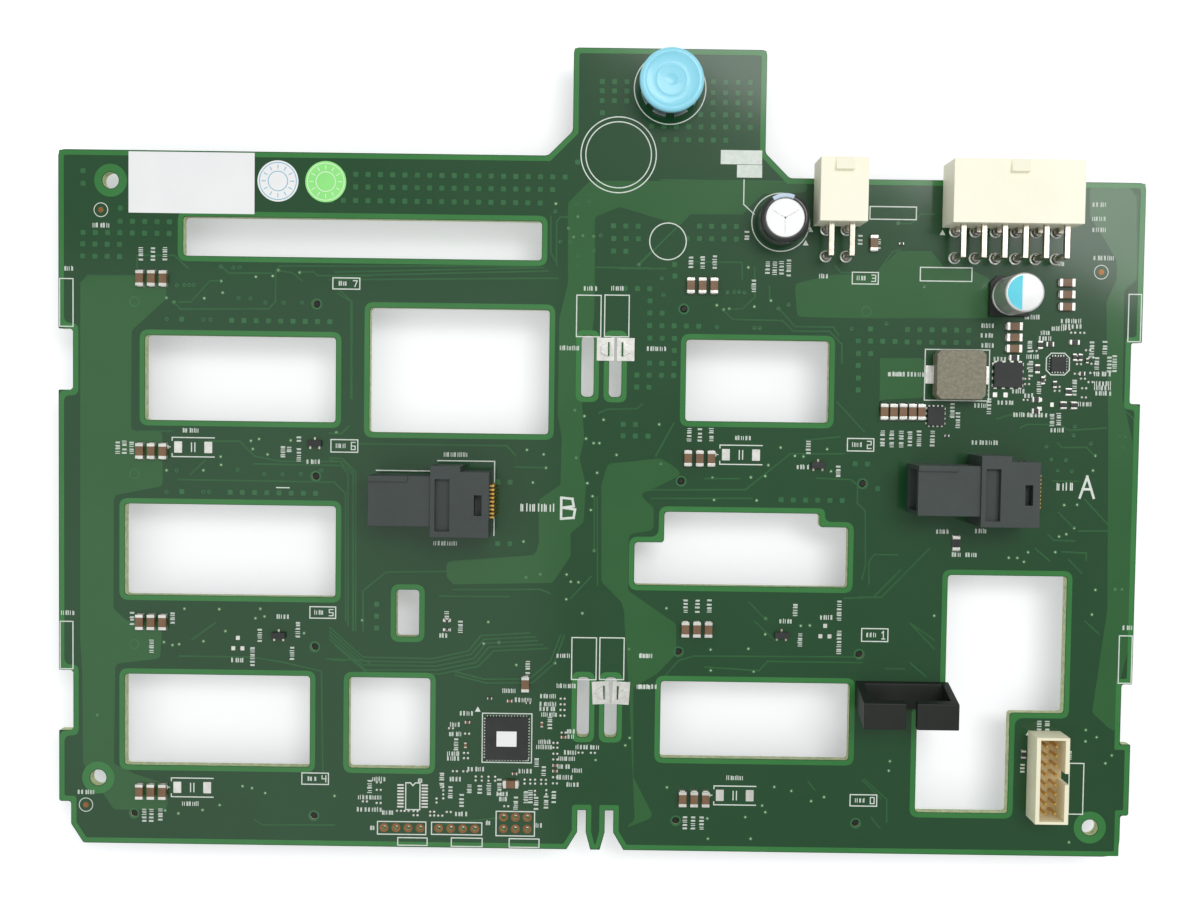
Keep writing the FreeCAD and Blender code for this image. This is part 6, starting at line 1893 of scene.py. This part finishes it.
@dataclass
class PowerHeader:
    """Right-angle power header: eased housing, tinned pins and solder at their feet."""

    prefix: str
    x: float
    columns: int
    pitch: float = 4.2
    rows: tuple[float, float] = (47.0, 41.5)

    def build(self, model: FrameModel) -> None:
        """Ease the moulded housing and solder each pin.

        Args:
            model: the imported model.
        """
        model.refine(f"{self.prefix}_housing", (IVORY,), 0.14, "ivory_plastic")
        model.refine(f"{self.prefix}_pins", (TIN_PIN,), 0.08, "tin_contact")
        shape = Shape()
        for i in range(self.columns):
            x = self.x + (i - (self.columns - 1) / 2) * self.pitch
            for y in self.rows:
                shape.lathe(((0, -0.1), (1.25, -0.1), (1.25, 0.04), (0.95, 0.14), (0.78, 0.42), (0.7, 0.75),
                             (0, 0.78)), (x, y, BOARD_TOP), 24)
        shape.piece(f"{self.prefix}_solder", (SOLDER,))


@dataclass
class DriveReceptacles:
    """The eight receptacles of the far side with both rows of their contacts."""

    plan: BoardPlan
    rear_count: int = 7
    rear_pitch: float = 0.8
    rear_y: float = -0.75
    rear_shift: float = -3.6
    rear_height: float = 3.4

    def build(self, model: FrameModel) -> None:
        """Ease the housings and add the contacts of their rear wall.

        Args:
            model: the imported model.
        """
        rear = Shape()
        for x, y in self.plan.bays():
            for i in range(self.rear_count):
                along = x + self.rear_shift - (i - (self.rear_count - 1) / 2) * self.rear_pitch
                rear.block((along, y + self.rear_y, self.rear_height), (0.4, 0.3, 5.2), 0, 0.05)
        rear.piece("rear_drive_contacts", (GOLD,))
        for number in range(1, len(self.plan.bays()) + 1):
            model.refine(f"drive_receptacle_{number}", (BLACK_POLYMER,), 0.12, "black_plastic")
            model.refine(f"drive_contacts_{number}", (GOLD,), 0.05, "gold_contact", segments=1)


@dataclass
class PlugConnectors:
    """The two data connectors and the signal header."""

    data: tuple[str, str] = ("data_connector_a", "data_connector_b")

    def build(self, model: FrameModel) -> None:
        """Ease the housings and plate the contacts.

        Args:
            model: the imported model.
        """
        for name in self.data:
            model.refine(f"{name}_housing", (CHARCOAL,), 0.12, "black_plastic")
            model.refine(f"{name}_contacts", (GOLD,), 0.04, "gold_contact", segments=1)
        # Upward faces low inside the signal header take the darker cream copy, a painted shade in its recess
        floor = BOARD_TOP + 2.0
        model.refine("signal_header_housing", (CREAM, CREAM_PAINTED_SHADE), 0.12, "ivory_plastic",
                     paint=lambda face: int(face.calc_center_median().z < floor and face.normal.z > 0.9))
        model.refine("signal_header_pins", (GOLD,), 0.05, "gold_contact", segments=1)


@dataclass
class PowerStage:
    """Inductor, chips and transistors of the power section."""

    chips: tuple[tuple[str, float, float, float, float, int], ...] = (
        ("regulator_switch_chip", 84.9, 17.45, 5.9, 5.2, 4),
        ("regulator_controller_chip", 95.3, 19.85, 3.1, 3.1, 5),
        ("load_switch_chip", 70.1, 8.7, 3.5, 3.9, 4), ("bay_controller_chip", -18.43, -60.2, 9.0, 9.0, 14))

    def build(self, model: FrameModel) -> None:
        """Build each part of the section.

        Args:
            model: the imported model.
        """
        model.refine("inductor_core", (IRON_POWDER,), 0.22, "ferrite", segments=3)
        model.refine("inductor_terminals", (TIN,), 0.08, "tin_contact")
        for node, x, y, length, width, pads in self.chips:
            LeadedChip(node, x, y, length, width, pads=pads).build(model)
        model.refine("transistor_bodies", (EPOXY,), 0.07, "chip_epoxy")
        model.refine("transistor_leads", (TIN_PIN,), 0.03, "tin_contact", segments=1)


@dataclass
class ContactPlates:
    """The four tinned plates beside the hook slots, each with a raised tongue."""

    names: tuple[str, ...] = ("upper_contact_left", "upper_contact_right", "lower_contact_left",
                              "lower_contact_right")

    def build(self, model: FrameModel) -> None:
        """Ease each plate.

        Args:
            model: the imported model.
        """
        for name in self.names:
            model.refine(name, (TIN,), 0.05, "tin_contact")


@dataclass
class Labels:
    """White label, two round stickers and the chip's sticker."""

    dots: tuple[tuple[str, float, float, Finish, Finish, str], ...] = (
        ("white_dot_label", -67.1, 55.5, PAPER, PRINT_BLUE, "label_white"),
        ("green_dot_label", -57.2, 55.5, GREEN_PAPER, PRINT_LIGHT, "label_green"))

    def build(self, model: FrameModel) -> None:
        """Build all stickers and the marks on them.

        Args:
            model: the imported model.
        """
        model.dress("blank_label", PAPER)
        model.dress("chip_sticker", PAPER)
        for name, x, y, finish, print_finish, slot in self.dots:
            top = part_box(name)[1].z / MM
            shape = Shape()
            shape.prism(disc(x, y, 4.24, 72), BOARD_TOP, top - 0.012)
            for radius in (3.9, 2.1):
                ring = [disc(x, y, radius, 64), disc(x, y, radius - 0.16, 64)]
                shape.sheet(ring, top - 0.03, top - 0.004, 1)
            for turn in range(0, 360, 30):
                a = math.radians(turn)
                dash = [(x + r * math.cos(a), y + r * math.sin(a)) for r in (2.6, 3.3)]
                for strip in ribbon(dash, 0.16):
                    shape.prism(strip, top - 0.03, top - 0.004, 1)
            shape.piece(f"{name}_face", (finish, print_finish), replaces=(name,), slot=slot)


class Studio:
    """Floor, light, world and camera."""

    camera_place = (0.74, 11.3, 309.19)
    camera_turn = (2.30, -0.089, -0.78)

    def build(self) -> None:
        """Set up everything that isn't the object."""
        self.floor()
        self.world()
        self.lamp("softbox", (0.329, 0.371, 1.0), (0.64, 0.35), -26.1, 4.4)
        self.lamp("fill", (-0.5, -0.3, 1.2), (0.9, 0.9), 0.0, 1.6)
        self.camera()
        scene = bpy.context.scene
        scene.view_settings.view_transform = "Standard"

    def floor(self) -> None:
        """Lay a pale floor that keeps the shadows."""
        bpy.ops.mesh.primitive_plane_add(size=6.0, location=(0, 0, -0.0002))
        floor = bpy.context.object
        floor.name = "studio_floor"
        material = bpy.data.materials.new("studio_floor")
        material.use_nodes = True
        tree = material.node_tree
        shader = tree.nodes["Principled BSDF"]
        Finish.fill(shader, {"Base Color": (0.84, 0.86, 0.88, 1), "Roughness": 0.9, "Specular IOR Level": 0.0,
                             "Emission Color": (1, 1, 1, 1)})
        path = tree.nodes.new("ShaderNodeLightPath")
        seen = tree.nodes.new("ShaderNodeMath")
        seen.operation = "MULTIPLY"
        seen.inputs[1].default_value = 0.36
        either = tree.nodes.new("ShaderNodeMath")
        either.operation = "MAXIMUM"
        tree.links.new(path.outputs["Is Camera Ray"], either.inputs[0])
        tree.links.new(path.outputs["Is Diffuse Ray"], either.inputs[1])
        tree.links.new(either.outputs[0], seen.inputs[0])
        tree.links.new(seen.outputs[0], shader.inputs["Emission Strength"])
        facing = tree.nodes.new("ShaderNodeNewGeometry")
        clear = tree.nodes.new("ShaderNodeBsdfTransparent")
        mix = tree.nodes.new("ShaderNodeMixShader")
        tree.links.new(facing.outputs["Backfacing"], mix.inputs[0])
        tree.links.new(shader.outputs[0], mix.inputs[1])
        tree.links.new(clear.outputs[0], mix.inputs[2])
        tree.links.new(mix.outputs[0], tree.nodes["Material Output"].inputs["Surface"])
        floor.data.materials.append(material)

    def world(self) -> None:
        """Even white surroundings."""
        world = bpy.data.worlds.new("studio")
        world.use_nodes = True
        world.node_tree.nodes["Background"].inputs["Color"].default_value = (1, 1, 1, 1)
        tree = world.node_tree
        path = tree.nodes.new("ShaderNodeLightPath")
        strength = tree.nodes.new("ShaderNodeMapRange")
        strength.inputs["To Min"].default_value = 0.62
        tree.links.new(path.outputs["Is Camera Ray"], strength.inputs["Value"])
        tree.links.new(strength.outputs["Result"], tree.nodes["Background"].inputs["Strength"])
        bpy.context.scene.world = world

    def lamp(self, name: str, place: tuple[float, float, float], size: tuple[float, float], turn: float,
             power: float) -> None:
        """Hang a soft lamp that faces down.

        Args:
            name: its name.
            place: where it hangs, in metres.
            size: its size, in metres.
            turn: its turn about +Z, in degrees.
            power: its power in watts.
        """
        light = bpy.data.lights.new(name, "AREA")
        light.shape, light.size, light.size_y, light.energy = "RECTANGLE", size[0], size[1], power
        lamp = bpy.data.objects.new(name, light)
        lamp.location = place
        lamp.rotation_euler = (0.0, 0.0, math.radians(turn))
        bpy.context.scene.collection.objects.link(lamp)

    def camera(self) -> None:
        """Place the camera as the photo was taken."""
        data = bpy.data.cameras.new("camera")
        data.lens, data.sensor_width, data.sensor_fit = 42.93, 36.0, "HORIZONTAL"
        data.clip_start = 0.01
        camera = bpy.data.objects.new("camera", data)
        turn = Vector([math.radians(a) for a in self.camera_turn])
        matrix = Matrix.Rotation(turn.length, 4, turn.normalized()).transposed()
        camera.matrix_world = Matrix.Translation(Vector(self.camera_place) * MM) @ matrix
        bpy.context.scene.collection.objects.link(camera)
        bpy.context.scene.camera = camera


# Ceramic capacitors of the power section, then chip resistors and small capacitors: centre and plan size
POWER_CAPACITORS: tuple[tuple[float, float, float, float], ...] = (
    (85.9, 27.5, 3.2, 1.6), (85.9, 25.2, 3.2, 1.6), (85.9, 22.9, 3.2, 1.6), (96.55, 36.65, 3.2, 1.6),
    (96.6, 34.2, 3.2, 1.6), (96.65, 31.7, 3.2, 1.6), (59.3, 9.45, 1.6, 3.2), (61.25, 9.45, 1.6, 3.2),
    (63.2, 9.5, 1.6, 3.2), (65.15, 9.5, 1.6, 3.2), (67.05, 9.5, 1.6, 3.2), (56.45, 44.3, 1.6, 3.2),
    (-14.65, -48.65, 1.6, 3.2), (-17.45, -69.8, 3.2, 1.6),
)
SMALL_CHIPS: tuple[tuple[float, float, float, float], ...] = (
    (86.1, 21.0, 2.0, 1.2), (91.5, 23.75, 1.0, 1.6), (93.5, 23.9, 1.6, 1.0), (98.6, 24.4, 2.0, 1.0),
    (91.0, 18.8, 1.0, 1.8), (92.2, 16.4, 0.8, 1.6), (98.7, 21.3, 0.8, 1.4), (99.9, 21.3, 0.8, 1.4),
    (101.3, 20.6, 0.6, 1.0), (97.6, 14.1, 1.3, 1.5), (96.6, 11.3, 1.3, 1.5), (98.8, 11.3, 1.3, 1.5),
    (90.9, 12.4, 1.6, 1.1), (90.9, 10.0, 1.6, 1.1), (94.7, 15.6, 0.8, 1.4), (100.3, 17.9, 1.2, 0.8),
    (62.2, 44.3, 1.0, 0.5), (72.5, 4.6, 1.0, 0.5), (90.2, -62.1, 1.0, 1.6), (-31.2, -35.6, 1.0, 0.5),
    (-31.2, -37.4, 1.0, 0.5), (-22.1, -51.8, 1.0, 0.5), (-14.0, -52.6, 1.0, 0.5), (75.0, -17.8, 1.6, 2.9),
)

TINY_CERAMICS: tuple[tuple[float, float, float, float], ...] = (
    (-26.7, -56.9, 1.1, 0.6), (-17.9, -52.3, 1.1, 0.6), (-16.7, -67.7, 1.1, 0.6), (-6.5, -59.8, 1.1, 0.6),
    (-8.2, -65.8, 1.1, 0.6), (-8.2, -67, 1.1, 0.6), (-27.1, -61.8, 0.6, 1.1), (-11.1, -57.2, 0.6, 1.1),
)


def main() -> None:
    """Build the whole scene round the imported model."""
    logging.basicConfig(level=logging.INFO, format="%(name)s %(message)s")
    model = FrameModel(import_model())
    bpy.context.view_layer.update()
    Studio().build()
    Laminate(PLAN).build()
    CopperPrint(PLAN).build()
    Silkscreen(PLAN).build()
    Footprints(PLAN).build()
    PowerHeader("main_power_header", 83.8, 6).build(model)
    PowerHeader("accessory_power_header", 48.7, 2).build(model)
    PlugConnectors().build(model)
    ReleasePlunger(model).build()
    CanCapacitors().build(model)
    PowerStage().build(model)
    bay_capacitors = [(x - 15.2 + i * 2.42, y + 4.83, 1.6, 3.2) for x, y in PLAN.bays() for i in (-1, 0, 1)]
    ChipParts("bay_ceramics", ChipStyle(CERAMIC, TIN), bay_capacitors, 1.2, "bay_capacitors").build()
    ChipParts("power_ceramics", ChipStyle(CERAMIC, TIN), POWER_CAPACITORS, 1.2, "power_capacitors").build()
    ChipParts("tiny_ceramics", ChipStyle(CERAMIC, TIN), TINY_CERAMICS, 0.45, None).build()
    ChipParts("chip_resistors", ChipStyle(GREY_CERAMIC, TIN, top=RESISTOR), SMALL_CHIPS, 0.5,
              "small_chips").build()
    ContactPlates().build(model)
    model.refine("cable_clip", (BLACK_POLYMER,), 0.3, "black_plastic", segments=3)
    Labels().build(model)
    DriveReceptacles(PLAN).build(model)


if __name__ == "__main__":
    main()
